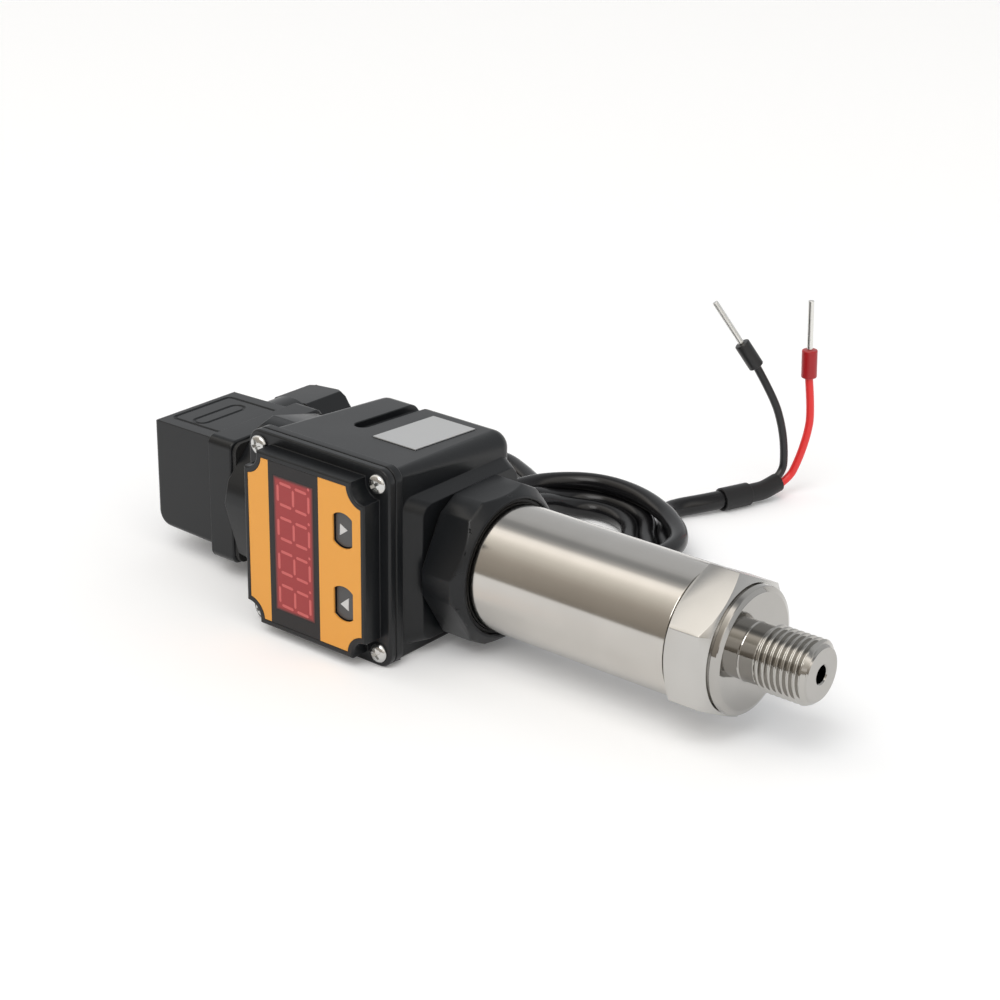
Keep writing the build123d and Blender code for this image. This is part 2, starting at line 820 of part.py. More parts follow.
# The two keys, each with its engraved arrow, its flange behind the panel and its stem
for name, key_z, arrow in (
    ("button_up", key_up_z, ((-1.3, 1.05), (-1.4, -1.6), (0.8, 0.0))),
    ("button_down", key_down_z, ((0.9, 1.35), (-1.5, -0.6), (0.8, -1.65))),
):
    with BuildPart() as key:
        with BuildSketch(key_plane(key_z, key_flange_front)):
            key_outline()
        extrude(amount=key_flange_front - key_front)
        with BuildSketch(key_plane(key_z, key_flange_back)):
            key_outline(key_flange)
        extrude(amount=key_flange)
        with BuildSketch(key_plane(key_z, key_stem_end)):
            Circle(key_stem_radius)
        extrude(amount=key_stem_end - key_flange_back)
        with BuildSketch(key_plane(key_z, key_front)):
            Polygon(*arrow, align=None)
        extrude(amount=-key_mark_depth, mode=Mode.SUBTRACT)
    key.part.label = name
    export_step(key.part, f"parts/{name}.step")

# Four cross-recessed screws that hold the cover on the housing
with BuildPart() as cover_screws:
    with BuildSketch(display_plane.offset(-flange_front)):
        with Locations(*screw_places):
            Circle(screw_head_radius)
    extrude(amount=screw_head_height)
    fillet(edges().group_by(Axis.Y)[0], radius=0.5)
    with BuildSketch(display_plane.offset(-flange_front)):
        with Locations(*screw_places):
            Circle(screw_radius)
    extrude(amount=-screw_length)
    with BuildSketch(display_plane.offset(-flange_front + screw_head_height)):
        with Locations(*screw_places):
            Rectangle(2 * cross_reach, cross_width, rotation=20)
            Rectangle(2 * cross_reach, cross_width, rotation=110)
    extrude(amount=-cross_depth, mode=Mode.SUBTRACT)
cover_screws.part.label = "cover_screws"
export_step(cover_screws.part, "parts/cover_screws.step")

# Current loop board behind the display board
with BuildPart() as loop_board:
    with BuildSketch(Plane.XZ.offset(-loop_board_front)):
        with Locations(
            ((loop_board_left + loop_board_right) / 2, (loop_board_bottom + loop_board_top) / 2)
        ):
            Rectangle(loop_board_right - loop_board_left, loop_board_top - loop_board_bottom)
    extrude(amount=-board_thickness)
loop_board.part.label = "loop_board"
export_step(loop_board.part, "parts/loop_board.step")

# Rear plug base, turned about the axis, with the hollow stub that passes into the housing
with BuildPart() as rear_base:
    with BuildSketch(Plane.YZ.offset(rear_base_start)):
        cut_hexagon(rear_flats, rear_corners, rear_turn)
    extrude(amount=rear_length)
    fillet(faces().sort_by(Axis.X)[-1].edges(), radius=0.5)
    with BuildSketch(Plane.YZ.offset(rear_base_end)):
        Circle(stub_radius)
    extrude(amount=stub_length)
    with BuildSketch(Plane.YZ.offset(rear_base_start + base_wall)):
        Circle(stub_bore)
    extrude(amount=rear_length - base_wall + stub_length, mode=Mode.SUBTRACT)
    with BuildSketch(Plane.YZ.offset(rear_base_start)):
        Circle(insert_radius)
        contact_slots(contact_width, contact_thickness)
    extrude(amount=base_wall, mode=Mode.SUBTRACT)
    with BuildSketch(Plane.YZ.offset(rear_base_start + base_wall)):
        contact_slots(contact_width, contact_thickness)
    extrude(amount=contact_tail, mode=Mode.SUBTRACT)
rear_base.part.label = "rear_base"
export_step(rear_base.part, "parts/rear_base.step")

# Nut on the rear base's stub, inside the housing
with BuildPart() as rear_nut:
    with BuildSketch(Plane.YZ.offset(cavity_left)):
        RegularPolygon(rear_nut_flats / 2, 6, major_radius=False)
        Circle(stub_radius + fit_clearance, mode=Mode.SUBTRACT)
    extrude(amount=rear_nut_height)
rear_nut.part.label = "rear_nut"
export_step(rear_nut.part, "parts/rear_nut.step")

# Brass insert of the rear base
with BuildPart() as rear_insert:
    with BuildSketch(Plane.YZ.offset(rear_base_start)):
        Circle(insert_radius)
        Circle(m3_bore, mode=Mode.SUBTRACT)
    extrude(amount=base_wall)
rear_insert.part.label = "rear_insert"
export_step(rear_insert.part, "parts/rear_insert.step")

# Four flat contacts of the rear base
with BuildPart() as rear_contacts:
    with BuildSketch(Plane.YZ.offset(rear_base_start - contact_reach)):
        contact_slots(contact_width, contact_thickness)
    extrude(amount=contact_reach + base_wall + contact_tail)
rear_contacts.part.label = "rear_contacts"
export_step(rear_contacts.part, "parts/rear_contacts.step")

# Flat gasket between the rear base and the cable plug
with BuildPart() as rear_gasket:
    with BuildSketch(Plane.YZ.offset(rear_gasket_start)):
        RectangleRounded(flange_side - 1, flange_side - 1, flange_corner)
        Circle(m3_hole, mode=Mode.SUBTRACT)
        contact_slots(contact_width + slot_clearance, contact_thickness + slot_clearance, Mode.SUBTRACT)
    extrude(amount=gasket_thickness)
rear_gasket.part.label = "rear_gasket"
export_step(rear_gasket.part, "parts/rear_gasket.step")

# Shell of the cable plug, with its flange, its gland boss and the bare frame on top
with BuildPart() as plug_shell:
    for x, shrink in ((shell_step, 0.0), (shell_end, 2 * shell_draft)):
        with BuildSketch(Plane(origin=(x, 0, shell_z), x_dir=(0, 1, 0), z_dir=(1, 0, 0))):
            Rectangle(shell_width - shrink, shell_height - shrink)
    loft()
    fillet(faces().sort_by(Axis.X)[0].edges().sort_by(Axis.Z)[0], radius=shell_low_corner)
    shell_edges = edges().filter_by(lambda edge: edge.center().X < shell_step - 0.1)
    fillet(shell_edges.filter_by(GeomType.LINE), radius=shell_corner)
    with BuildSketch(Plane.YZ.offset(shell_step)):
        RectangleRounded(flange_side, flange_side, flange_corner)
    extrude(amount=rear_gasket_start - shell_step)
    fillet(faces().sort_by(Axis.X)[-1].edges(), radius=0.6)
    with BuildSketch(gland_plane.offset(gland_floor - 2)):
        Circle(gland_boss_radius)
    extrude(amount=gland_boss_end - gland_floor + 2)
    with BuildSketch(Plane.YZ.offset(shell_cavity_end)):
        Rectangle(shell_cavity, shell_cavity)
    extrude(amount=rear_gasket_start - shell_cavity_end, mode=Mode.SUBTRACT)
    with BuildSketch(Plane.YZ.offset(shell_cavity_end)):
        Circle(shell_boss_radius)
    extrude(amount=shell_boss_length)
    with BuildSketch(Plane.YZ.offset(shell_end)):
        Circle(head_well_radius)
    extrude(amount=shell_cavity_end - shell_end, mode=Mode.SUBTRACT)
    with BuildSketch(Plane.YZ.offset(shell_cavity_end)):
        Circle(m3_hole)
    extrude(amount=shell_boss_length, mode=Mode.SUBTRACT)
    with BuildSketch(gland_plane.offset(gland_floor)):
        Circle(gland_bore)
    extrude(amount=gland_boss_end - gland_floor, mode=Mode.SUBTRACT)
    with BuildSketch(gland_plane.offset(shell_cavity / 2 - 1)):
        Circle(gland_inner_hole)
    extrude(amount=gland_floor - shell_cavity / 2 + 1, mode=Mode.SUBTRACT)
    shell_top = shell_z + shell_height / 2
    with BuildSketch(Plane.XY.offset(shell_top - frame_depth)):
        with Locations((frame_x, 0)):
            RectangleRounded(frame_length, frame_width, frame_corner)
            RectangleRounded(
                frame_length - 2 * frame_groove,
                frame_width - 2 * frame_groove,
                frame_corner - frame_groove,
                mode=Mode.SUBTRACT,
            )
        with Locations((stadium_x, stadium_y)):
            SlotOverall(stadium_length, stadium_width, rotation=90)
            SlotOverall(
                stadium_length - 2 * frame_groove,
                stadium_width - 2 * frame_groove,
                rotation=90,
                mode=Mode.SUBTRACT,
            )
    extrude(amount=2 * frame_depth, mode=Mode.SUBTRACT)
plug_shell.part.label = "plug_shell"
export_step(plug_shell.part, "parts/plug_shell.step")

# Terminal insert of the cable plug
with BuildPart() as terminal_insert:
    with BuildSketch(Plane.YZ.offset(terminal_insert_end)):
        Rectangle(terminal_insert_side, terminal_insert_side)
        Circle(m3_hole, mode=Mode.SUBTRACT)
    extrude(amount=rear_gasket_start - terminal_insert_end)
    with BuildSketch(Plane.YZ.offset(plug_socket_end)):
        contact_slots(socket_width, socket_thickness)
    extrude(amount=rear_gasket_start - plug_socket_end, mode=Mode.SUBTRACT)
terminal_insert.part.label = "terminal_insert"
export_step(terminal_insert.part, "parts/terminal_insert.step")

# Sockets in the insert that take the rear base's contacts
with BuildPart() as plug_contacts:
    with BuildSketch(Plane.YZ.offset(plug_socket_end)):
        contact_slots(socket_width - slot_clearance, socket_thickness - slot_clearance)
        contact_slots(contact_width + slot_clearance, contact_thickness + slot_clearance, Mode.SUBTRACT)
    extrude(amount=rear_gasket_start - plug_socket_end)
plug_contacts.part.label = "plug_contacts"
export_step(plug_contacts.part, "parts/plug_contacts.step")

# Screws of the three terminals
with BuildPart() as terminal_screws:
    with BuildSketch(Plane.YZ.offset(terminal_insert_end - terminal_screw_height)):
        with Locations(*terminal_places):
            Circle(terminal_screw_radius)
    extrude(amount=terminal_screw_height)
    with BuildSketch(Plane.YZ.offset(terminal_insert_end - terminal_screw_height)):
        with Locations(*terminal_places):
            Rectangle(2 * terminal_screw_radius, terminal_slot)
    extrude(amount=terminal_slot, mode=Mode.SUBTRACT)
terminal_screws.part.label = "terminal_screws"
export_step(terminal_screws.part, "parts/terminal_screws.step")

# Long screw through the cable plug into the rear base's insert
with BuildPart() as plug_screw:
    with BuildSketch(Plane.YZ.offset(shell_cavity_end - m3_head_height)):
        Circle(m3_head_radius)
    extrude(amount=m3_head_height)
    with BuildSketch(Plane.YZ.offset(shell_cavity_end)):
        Circle(m3_radius)
    extrude(amount=rear_base_start + base_wall - 1 - shell_cavity_end)
    with BuildSketch(Plane.YZ.offset(shell_cavity_end - m3_head_height)):
        Rectangle(2 * m3_head_radius, 2 * terminal_slot)
    extrude(amount=drive_depth, mode=Mode.SUBTRACT)
plug_screw.part.label = "plug_screw"
export_step(plug_screw.part, "parts/plug_screw.step")

# Soft seal of the gland, squeezed about the cable
with BuildPart() as gland_seal:
    with BuildSketch(gland_plane.offset(gland_floor)):
        Circle(gland_spigot_radius)
        Circle(cable_radius + fit_clearance, mode=Mode.SUBTRACT)
    extrude(amount=gland_seal_length)
gland_seal.part.label = "gland_seal"
export_step(gland_seal.part, "parts/gland_seal.step")

# Washer between the seal and the gland nut
with BuildPart() as gland_washer:
    with BuildSketch(gland_plane.offset(gland_floor + gland_seal_length)):
        Circle(gland_spigot_radius)
        Circle(gland_hole, mode=Mode.SUBTRACT)
    extrude(amount=gland_washer_thickness)
gland_washer.part.label = "gland_washer"
export_step(gland_washer.part, "parts/gland_washer.step")

# Gland nut, a hexagon with a bevelled outer end and a spigot in the boss
with BuildPart() as gland_nut:
    nut_corner_radius = gland_flats / math.sqrt(3)
    spigot_from = gland_floor + gland_seal_length + gland_washer_thickness
    with BuildSketch(gland_plane.offset(gland_boss_end)):
        RegularPolygon(gland_flats / 2, 6, major_radius=False, rotation=-gland_turn)
    extrude(amount=gland_end - gland_boss_end)
    with BuildSketch(Plane.XY.offset(gland_z)):
        with BuildLine():
            Polyline(
                (gland_x, gland_boss_end),
                (gland_x + nut_corner_radius, gland_boss_end),
                (gland_x + nut_corner_radius, gland_hex_end - gland_cone),
                (gland_x + nut_corner_radius - gland_cone, gland_hex_end),
                (gland_x + gland_end_radius, gland_hex_end),
                (gland_x + gland_end_radius, gland_end),
                (gland_x, gland_end),
                close=True,
            )
        make_face()
    revolve(axis=Axis((gland_x, 0, gland_z), (0, 1, 0)), mode=Mode.INTERSECT)
    with BuildSketch(gland_plane.offset(spigot_from)):
        Circle(gland_spigot_radius)
    extrude(amount=gland_boss_end - spigot_from)
    with BuildSketch(gland_plane.offset(spigot_from)):
        Circle(gland_hole)
    extrude(amount=gland_end - spigot_from, mode=Mode.SUBTRACT)
gland_nut.part.label = "gland_nut"
export_step(gland_nut.part, "parts/gland_nut.step")

# Cable from the plug's terminals over the floor to the loose coil
with BuildPart() as cable_lead:
    lead_radii = cord_radii(lead_points, 40.0)
    with BuildLine():
        FilletPolyline(*lead_points, radius=lead_radii)
    with BuildSketch(gland_plane.offset(lead_points[0][1])):
        Circle(cable_radius)
    sweep()
cable_lead.part.label = "cable_lead"
export_step(cable_lead.part, "parts/cable_lead.step")

# Cable behind the coil, up to its stripped end
with BuildPart() as cable_tail:
    tail_radii = cord_radii(tail_points, 22.0)
    with BuildLine():
        FilletPolyline(*tail_points, radius=tail_radii)
    tail_start = Vector(tail_points[0])
    with BuildSketch(Plane(origin=tail_start, z_dir=Vector(tail_points[1]) - tail_start)):
        Circle(cable_radius)
    sweep()
cable_tail.part.label = "cable_tail"

# The coil's two loose turns as one closed ring that the lead and the tail run into
with BuildPart() as cable_coil:
    with BuildSketch(Plane(origin=(coil_x, coil_y, floor_z))):
        Circle(coil_outer_radius)
        Circle(coil_inner_radius, mode=Mode.SUBTRACT)
    extrude(amount=coil_height)
    fillet(edges().filter_by(GeomType.CIRCLE), radius=coil_edge)
    add(cable_lead.part, mode=Mode.SUBTRACT)
    add(cable_tail.part, mode=Mode.SUBTRACT)
cable_coil.part.label = "cable_coil"
export_step(cable_coil.part, "parts/cable_coil.step")
export_step(cable_tail.part, "parts/cable_tail.step")

# Sleeve over the jacket's end
with BuildPart() as sleeve_large:
    jacket_end = Vector(tail_points[-1])
    along_tail = (jacket_end - Vector(tail_points[-2])).normalized()
    with BuildSketch(Plane(origin=jacket_end - along_tail * sleeve_large_length, z_dir=along_tail)):
        Circle(sleeve_large_radius)
        Circle(cable_radius, mode=Mode.SUBTRACT)
    extrude(amount=sleeve_large_length)
sleeve_large.part.label = "sleeve_large"
export_step(sleeve_large.part, "parts/sleeve_large.step")

# Sleeve over the two cores in front of the jacket
with BuildPart() as sleeve_small:
    sleeve_points = [jacket_end, jacket_end + along_tail * sleeve_bend, Vector(sleeve_mouth)]
    sleeve_radii = cord_radii(sleeve_points, 12.0)
    with BuildLine():
        FilletPolyline(*sleeve_points, radius=sleeve_radii)
    with BuildSketch(Plane(origin=jacket_end, z_dir=along_tail)):
        Circle(sleeve_small_radius)
        Circle(sleeve_small_bore, mode=Mode.SUBTRACT)
    sweep()
sleeve_small.part.label = "sleeve_small"
export_step(sleeve_small.part, "parts/sleeve_small.step")

# The two cores with their ferrules, each a collar and a crimped pin
core_ends = {}
for name, points, aim in (
    ("black", black_points, (-75.3, 95.5, 29.2)),
    ("red", red_points, (-58.4, 109.2, 32.7)),
):
    with BuildPart() as core:
        radii = cord_radii(points, 12.0)
        core_ends[name] = radii
        start = Vector(points[0])
        with BuildLine():
            FilletPolyline(*points, radius=radii)
        with BuildSketch(Plane(origin=start, z_dir=Vector(points[1]) - start)):
            Circle(core_radius)
        sweep()
    core.part.label = f"core_{name}"
    export_step(core.part, f"parts/core_{name}.step")
    collar_start = Vector(points[-1])
    upward = (Vector(aim) - collar_start).normalized()
    with BuildPart() as ferrule_collar:
        with BuildSketch(Plane(origin=collar_start, z_dir=upward)):
            Circle(ferrule_collar_radius)
        extrude(amount=ferrule_collar_length)
        fillet(edges(), radius=0.3)
        add(core.part, mode=Mode.SUBTRACT)
    ferrule_collar.part.label = f"ferrule_collar_{name}"
    export_step(ferrule_collar.part, f"parts/ferrule_collar_{name}.step")
    with BuildPart() as ferrule_pin:
        with BuildSketch(Plane(origin=collar_start + upward * ferrule_collar_length, z_dir=upward)):
            Circle(ferrule_pin_radius)
        extrude(amount=ferrule_pin_length)
    ferrule_pin.part.label = f"ferrule_pin_{name}"
    export_step(ferrule_pin.part, f"parts/ferrule_pin_{name}.step")

print("lead radii", [round(r, 2) for r in lead_radii])
print("tail radii", [round(r, 2) for r in tail_radii])
print("sleeve radii", [round(r, 2) for r in sleeve_radii])
for name, radii in core_ends.items():
    print(name, "core radii", [round(r, 2) for r in radii])
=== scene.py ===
"""Dresses the pressure transmitter: finishes, thread, digits, cable, cores, camera, light and floor.

The frame is in metres: +X runs to the process thread, -Y out of the display and +Z up. Sizes in the
classes are millimetres, and MM turns them into metres.
"""
import json
import logging
import math
from dataclasses import dataclass, field
from enum import Enum
from typing import Dict, Iterable, List, Sequence, Tuple

import bmesh
import bpy
from mathutils import Matrix, Vector

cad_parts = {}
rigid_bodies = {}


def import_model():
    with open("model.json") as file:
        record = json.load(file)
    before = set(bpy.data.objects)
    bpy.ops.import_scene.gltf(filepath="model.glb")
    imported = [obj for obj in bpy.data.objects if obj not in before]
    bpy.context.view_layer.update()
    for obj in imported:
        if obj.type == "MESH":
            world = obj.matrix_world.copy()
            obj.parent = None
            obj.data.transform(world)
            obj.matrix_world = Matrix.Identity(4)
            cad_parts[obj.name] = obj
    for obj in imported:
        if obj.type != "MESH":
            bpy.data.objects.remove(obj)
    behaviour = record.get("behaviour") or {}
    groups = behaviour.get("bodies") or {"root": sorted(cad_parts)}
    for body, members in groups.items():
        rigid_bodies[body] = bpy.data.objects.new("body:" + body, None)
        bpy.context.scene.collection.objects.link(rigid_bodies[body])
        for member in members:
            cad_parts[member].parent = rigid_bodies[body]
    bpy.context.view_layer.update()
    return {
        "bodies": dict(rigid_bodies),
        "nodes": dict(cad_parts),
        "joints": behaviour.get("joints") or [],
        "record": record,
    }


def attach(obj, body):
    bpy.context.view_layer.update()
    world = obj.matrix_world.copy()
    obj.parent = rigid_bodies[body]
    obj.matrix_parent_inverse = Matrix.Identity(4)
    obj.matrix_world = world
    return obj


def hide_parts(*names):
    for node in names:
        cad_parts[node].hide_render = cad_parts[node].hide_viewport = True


LOG = logging.getLogger("pressure_transmitter")
MM = 0.001
WELD = 1e-7
ROUND_STEPS = 192
BODY = "transmitter"
Point = Tuple[float, float, float]
Colour = Tuple[float, float, float]


class Grain(Enum):
    """The fine surface pattern of a finish."""

    PLAIN = "plain"
    MOULDED = "moulded"
    BRUSHED = "brushed"
    MILLED = "milled"
    JACKET = "jacket"


class Graph:
    """Adds nodes to one node tree and joins their sockets."""

    def __init__(self, tree: bpy.types.NodeTree) -> None:
        """Keeps the tree that the nodes go into."""
        self.tree = tree

    def add(self, kind: str, **settings: object) -> bpy.types.Node:
        """Adds one node and sets its properties.

        Args:
            kind: the node's type name.
            **settings: property names and their values.

        Returns:
            The new node.
        """
        node = self.tree.nodes.new(kind)
        for key, value in settings.items():
            setattr(node, key, value)
        return node

    def join(self, source: bpy.types.NodeSocket, target: bpy.types.NodeSocket) -> None:
        """Links an output socket to an input socket."""
        self.tree.links.new(source, target)

    def maths(self, operation: str, first: object, second: object = 0.0) -> bpy.types.NodeSocket:
        """Adds a Math node.

        Args:
            operation: the Math node's operation.
            first: a socket or a number.
            second: a socket or a number.

        Returns:
            The result's socket.
        """
        node = self.add("ShaderNodeMath", operation=operation)
        for socket, value in zip(node.inputs, (first, second)):
            if isinstance(value, bpy.types.NodeSocket):
                self.join(value, socket)
            else:
                socket.default_value = value
        return node.outputs[0]

    def axes(self) -> bpy.types.NodeOutputs:
        """Adds the object's own X, Y and Z as three sockets."""
        split = self.add("ShaderNodeSeparateXYZ")
        self.join(self.add("ShaderNodeTexCoord").outputs["Object"], split.inputs["Vector"])
        return split.outputs


@dataclass(frozen=True)
class Finish:
    """One finish of the object's surfaces, made into a material when it is first used."""

    slot: str
    colour: Colour
    roughness: float
    metallic: float = 0.0
    grain: Grain = Grain.PLAIN
    grain_size: float = 1.0
    relief: float = 0.0
    specular: float = 0.5
    tone: float = 0.0
    cloud_size: float = 12.0
    gloss_change: float = 0.15

    def material(self, name: str) -> bpy.types.Material:
        """Builds the finish's material, or finds it if it is there.

        Args:
            name: the material's name.

        Returns:
            The material.
        """
        found = bpy.data.materials.get(name)
        if found:
            return found
        material = bpy.data.materials.new(name)
        material.use_nodes = True
        graph = Graph(material.node_tree)
        shader = material.node_tree.nodes["Principled BSDF"]
        shader.inputs["Base Color"].default_value = (*self.colour, 1.0)
        shader.inputs["Roughness"].default_value = self.roughness
        shader.inputs["Metallic"].default_value = self.metallic
        shader.inputs["Specular IOR Level"].default_value = self.specular
        if self.grain is not Grain.PLAIN:
            self._add_grain(graph, shader)
        return material

    def _add_grain(self, graph: Graph, shader: bpy.types.Node) -> None:
        """Adds the grain's relief and its change of tone and gloss.

        Args:
            graph: the material's nodes.
            shader: the surface shader.
        """
        stretch = (0.05, 1.5, 1.5) if self.grain is Grain.BRUSHED else (1.0, 1.0, 1.0)
        place = graph.add("ShaderNodeTexCoord")
        mapping = graph.add("ShaderNodeMapping")
        mapping.inputs["Scale"].default_value = [part / (self.grain_size * MM) for part in stretch]
        graph.join(place.outputs["Object"], mapping.inputs["Vector"])
        noise = graph.add("ShaderNodeTexNoise")
        noise.inputs["Scale"].default_value = 1.0
        noise.inputs["Detail"].default_value = 4.0
        graph.join(mapping.outputs["Vector"], noise.inputs["Vector"])
        bump = graph.add("ShaderNodeBump")
        bump.inputs["Strength"].default_value = 1.0
        bump.inputs["Distance"].default_value = self.relief * MM
        graph.join(noise.outputs["Fac"], bump.inputs["Height"])
        graph.join(bump.outputs["Normal"], shader.inputs["Normal"])
        gloss = graph.add("ShaderNodeMapRange")
        gloss.inputs["To Min"].default_value = self.roughness * (1.0 - self.gloss_change)
        gloss.inputs["To Max"].default_value = self.roughness * (1.0 + self.gloss_change)
        cloud = graph.add("ShaderNodeTexNoise")
        cloud.inputs["Scale"].default_value = 1.0 / (self.cloud_size * MM)
        cloud.inputs["Detail"].default_value = 3.0
        graph.join(place.outputs["Object"], cloud.inputs["Vector"])
        graph.join(cloud.outputs["Fac"], gloss.inputs["Value"])
        graph.join(gloss.outputs["Result"], shader.inputs["Roughness"])
        if self.tone > 0.0:
            ramp = graph.add("ShaderNodeMapRange")
            ramp.inputs["From Min"].default_value = 0.3
            ramp.inputs["From Max"].default_value = 0.7
            ramp.inputs["To Min"].default_value = 1.0 - self.tone
            ramp.inputs["To Max"].default_value = 1.0 + self.tone
            graph.join(cloud.outputs["Fac"], ramp.inputs["Value"])
            shade = graph.add("ShaderNodeVectorMath", operation="SCALE")
            shade.inputs[0].default_value = self.colour
            graph.join(ramp.outputs["Result"], shade.inputs["Scale"])
            graph.join(shade.outputs["Vector"], shader.inputs["Base Color"])


FINISHES: Dict[str, Finish] = {
    "turned steel": Finish(
        "stainless", (0.44, 0.428, 0.405), 0.11, 1.0, Grain.MILLED, 0.5, 0.001, tone=0.04,
    ),
    "milled steel": Finish(
        "stainless", (0.53, 0.52, 0.50), 0.24, 1.0, Grain.MILLED, 0.35, 0.003, tone=0.04,
    ),
    "polished steel": Finish(
        "stainless", (0.42, 0.408, 0.388), 0.07, 1.0, Grain.MILLED, 0.8, 0.001, tone=0.03,
    ),
    "brushed tube": Finish(
        "stainless_tube", (0.53, 0.51, 0.48), 0.13, 1.0, Grain.BRUSHED, 1.2, 0.004, tone=0.04,
    ),
    "black plastic": Finish(
        "black_plastic", (0.008, 0.009, 0.0105), 0.32, 0.0,
        Grain.MOULDED, 0.28, 0.007, specular=0.34, tone=0.12,
    ),
    "black gasket": Finish("rubber", (0.012, 0.012, 0.012), 0.65, 0.0, Grain.MOULDED, 0.4, 0.01),
    "green board": Finish("circuit_board", (0.03, 0.16, 0.07), 0.45),
    "white ceramic": Finish("ceramic", (0.82, 0.80, 0.75), 0.5),
    "turned brass": Finish("brass", (0.72, 0.52, 0.24), 0.3, 1.0),
    "tin plate": Finish("tinned_brass", (0.78, 0.77, 0.74), 0.25, 1.0, Grain.MILLED, 0.4, 0.01),
    "zinc plate": Finish("zinc_steel", (0.60, 0.60, 0.59), 0.17, 1.0, Grain.MILLED, 0.6, 0.02),
    "display block": Finish("display_case", (0.05, 0.01, 0.01), 0.5),
    "switch plastic": Finish("key_switch", (0.03, 0.03, 0.03), 0.4),
    "key plastic": Finish("key_plastic", (0.062, 0.064, 0.068), 0.34, 0.0, Grain.MOULDED, 0.3, 0.004),
    "key arrow": Finish("key_plastic", (0.60, 0.61, 0.62), 0.45),
    "orange film": Finish("orange_film", (0.775, 0.355, 0.065), 0.42, specular=0.3),
    "red window": Finish(
        "red_window", (0.330, 0.042, 0.044), 0.30, 0.0, Grain.MOULDED, 2.0, 0.002, specular=0.3,
    ),
    "lit segment": Finish("red_window", (0.56, 0.105, 0.100), 0.30),
    "silver label": Finish("label_silver", (0.50, 0.51, 0.52), 0.38, 0.35, Grain.MILLED, 0.5, 0.002),
    "grey insert": Finish("insert_plastic", (0.32, 0.32, 0.33), 0.5),
    "cable jacket": Finish(
        "black_jacket", (0.007, 0.007, 0.008), 0.24, 0.0, Grain.JACKET, 0.5, 0.003, specular=0.4,
    ),
    "shrink sleeve": Finish(
        "black_sleeve", (0.013, 0.013, 0.014), 0.44, 0.0, Grain.JACKET, 0.5, 0.008, specular=0.35,
    ),
    "black core": Finish("black_core", (0.012, 0.012, 0.013), 0.32),
    "red core": Finish("red_core", (0.80, 0.030, 0.030), 0.34),
    "red collar": Finish("red_core", (0.38, 0.010, 0.014), 0.30),
}


def smooth_by_angle(mesh: bpy.types.Mesh, degrees: float = 28.0) -> None:
    """Shades a mesh smooth and leaves its edges sharp past an angle."""
    mesh.shade_smooth()
    mesh.set_sharp_from_angle(angle=math.radians(degrees))


def new_object(name: str, mesh: bpy.types.Mesh) -> bpy.types.Object:
    """Puts a mesh into the scene as an object at the origin."""
    piece = bpy.data.objects.new(name, mesh)
    bpy.context.scene.collection.objects.link(piece)
    return piece


def from_faces(name: str, points: Sequence[Point], faces: Sequence[Sequence[int]]) -> bpy.types.Object:
    """Makes an object from points in millimetres and faces, with its normals turned outwards.

    Args:
        name: the object's name.
        points: the vertices, in millimetres.
        faces: the faces as lists of vertex numbers.

    Returns:
        The object.
    """
    mesh = bpy.data.meshes.new(name)
    mesh.from_pydata([tuple(part * MM for part in point) for point in points], [], faces)
    tidy = bmesh.new()
    tidy.from_mesh(mesh)
    bmesh.ops.remove_doubles(tidy, verts=tidy.verts, dist=WELD)
    bmesh.ops.recalc_face_normals(tidy, faces=tidy.faces)
    tidy.to_mesh(mesh)
    tidy.free()
    return new_object(name, mesh)


def lathe(
    name: str, profile: Sequence[Tuple[float, float]], segments: int = ROUND_STEPS
) -> bpy.types.Object:
    """Turns a closed profile of (x, radius) points in millimetres about the sensor's axis.

    Args:
        name: the object's name.
        profile: the closed outline, without its first point repeated.
        segments: the number of steps round the axis.

    Returns:
        The turned object.
    """
    points = []
    for step in range(segments):
        angle = 2 * math.pi * step / segments
        points += [(x, r * math.cos(angle), r * math.sin(angle)) for x, r in profile]
    count = len(profile)
    faces = []
    for step in range(segments):
        here = step * count
        there = (step + 1) % segments * count
        for side in range(count):
            following = (side + 1) % count
            if profile[side][1] == 0.0 and profile[following][1] == 0.0:
                continue
            faces.append((here + side, here + following, there + following, there + side))
    return from_faces(name, points, faces)


def solid_between(name: str, near: Sequence[Point], far: Sequence[Point]) -> bpy.types.Object:
    """Joins two outlines with the same number of points into a closed solid.

    Args:
        name: the object's name.
        near: the first outline, in millimetres.
        far: the second outline, in millimetres.

    Returns:
        The solid.
    """
    count = len(near)
    faces: List[Sequence[int]] = [range(count), range(count, 2 * count)]
    faces += [(i, (i + 1) % count, count + (i + 1) % count, count + i) for i in range(count)]
    return from_faces(name, [*near, *far], faces)


def prism(name: str, outline: Sequence[Tuple[float, float]], start: float, end: float) -> bpy.types.Object:
    """Extrudes an outline of (y, z) points along X from one station to another, in millimetres."""
    return solid_between(name, [(start, y, z) for y, z in outline], [(end, y, z) for y, z in outline])


def plate(name: str, outline: Sequence[Tuple[float, float]], front: float, back: float) -> bpy.types.Object:
    """Extrudes an outline of (x, z) points along Y from its front to its back, in millimetres."""
    return solid_between(name, [(x, front, z) for x, z in outline], [(x, back, z) for x, z in outline])


def apply_modifiers(piece: bpy.types.Object) -> None:
    """Makes the evaluated shape the object's own mesh and removes its modifiers."""
    graph = bpy.context.evaluated_depsgraph_get()
    mesh = bpy.data.meshes.new_from_object(piece.evaluated_get(graph))
    piece.modifiers.clear()
    piece.data = mesh


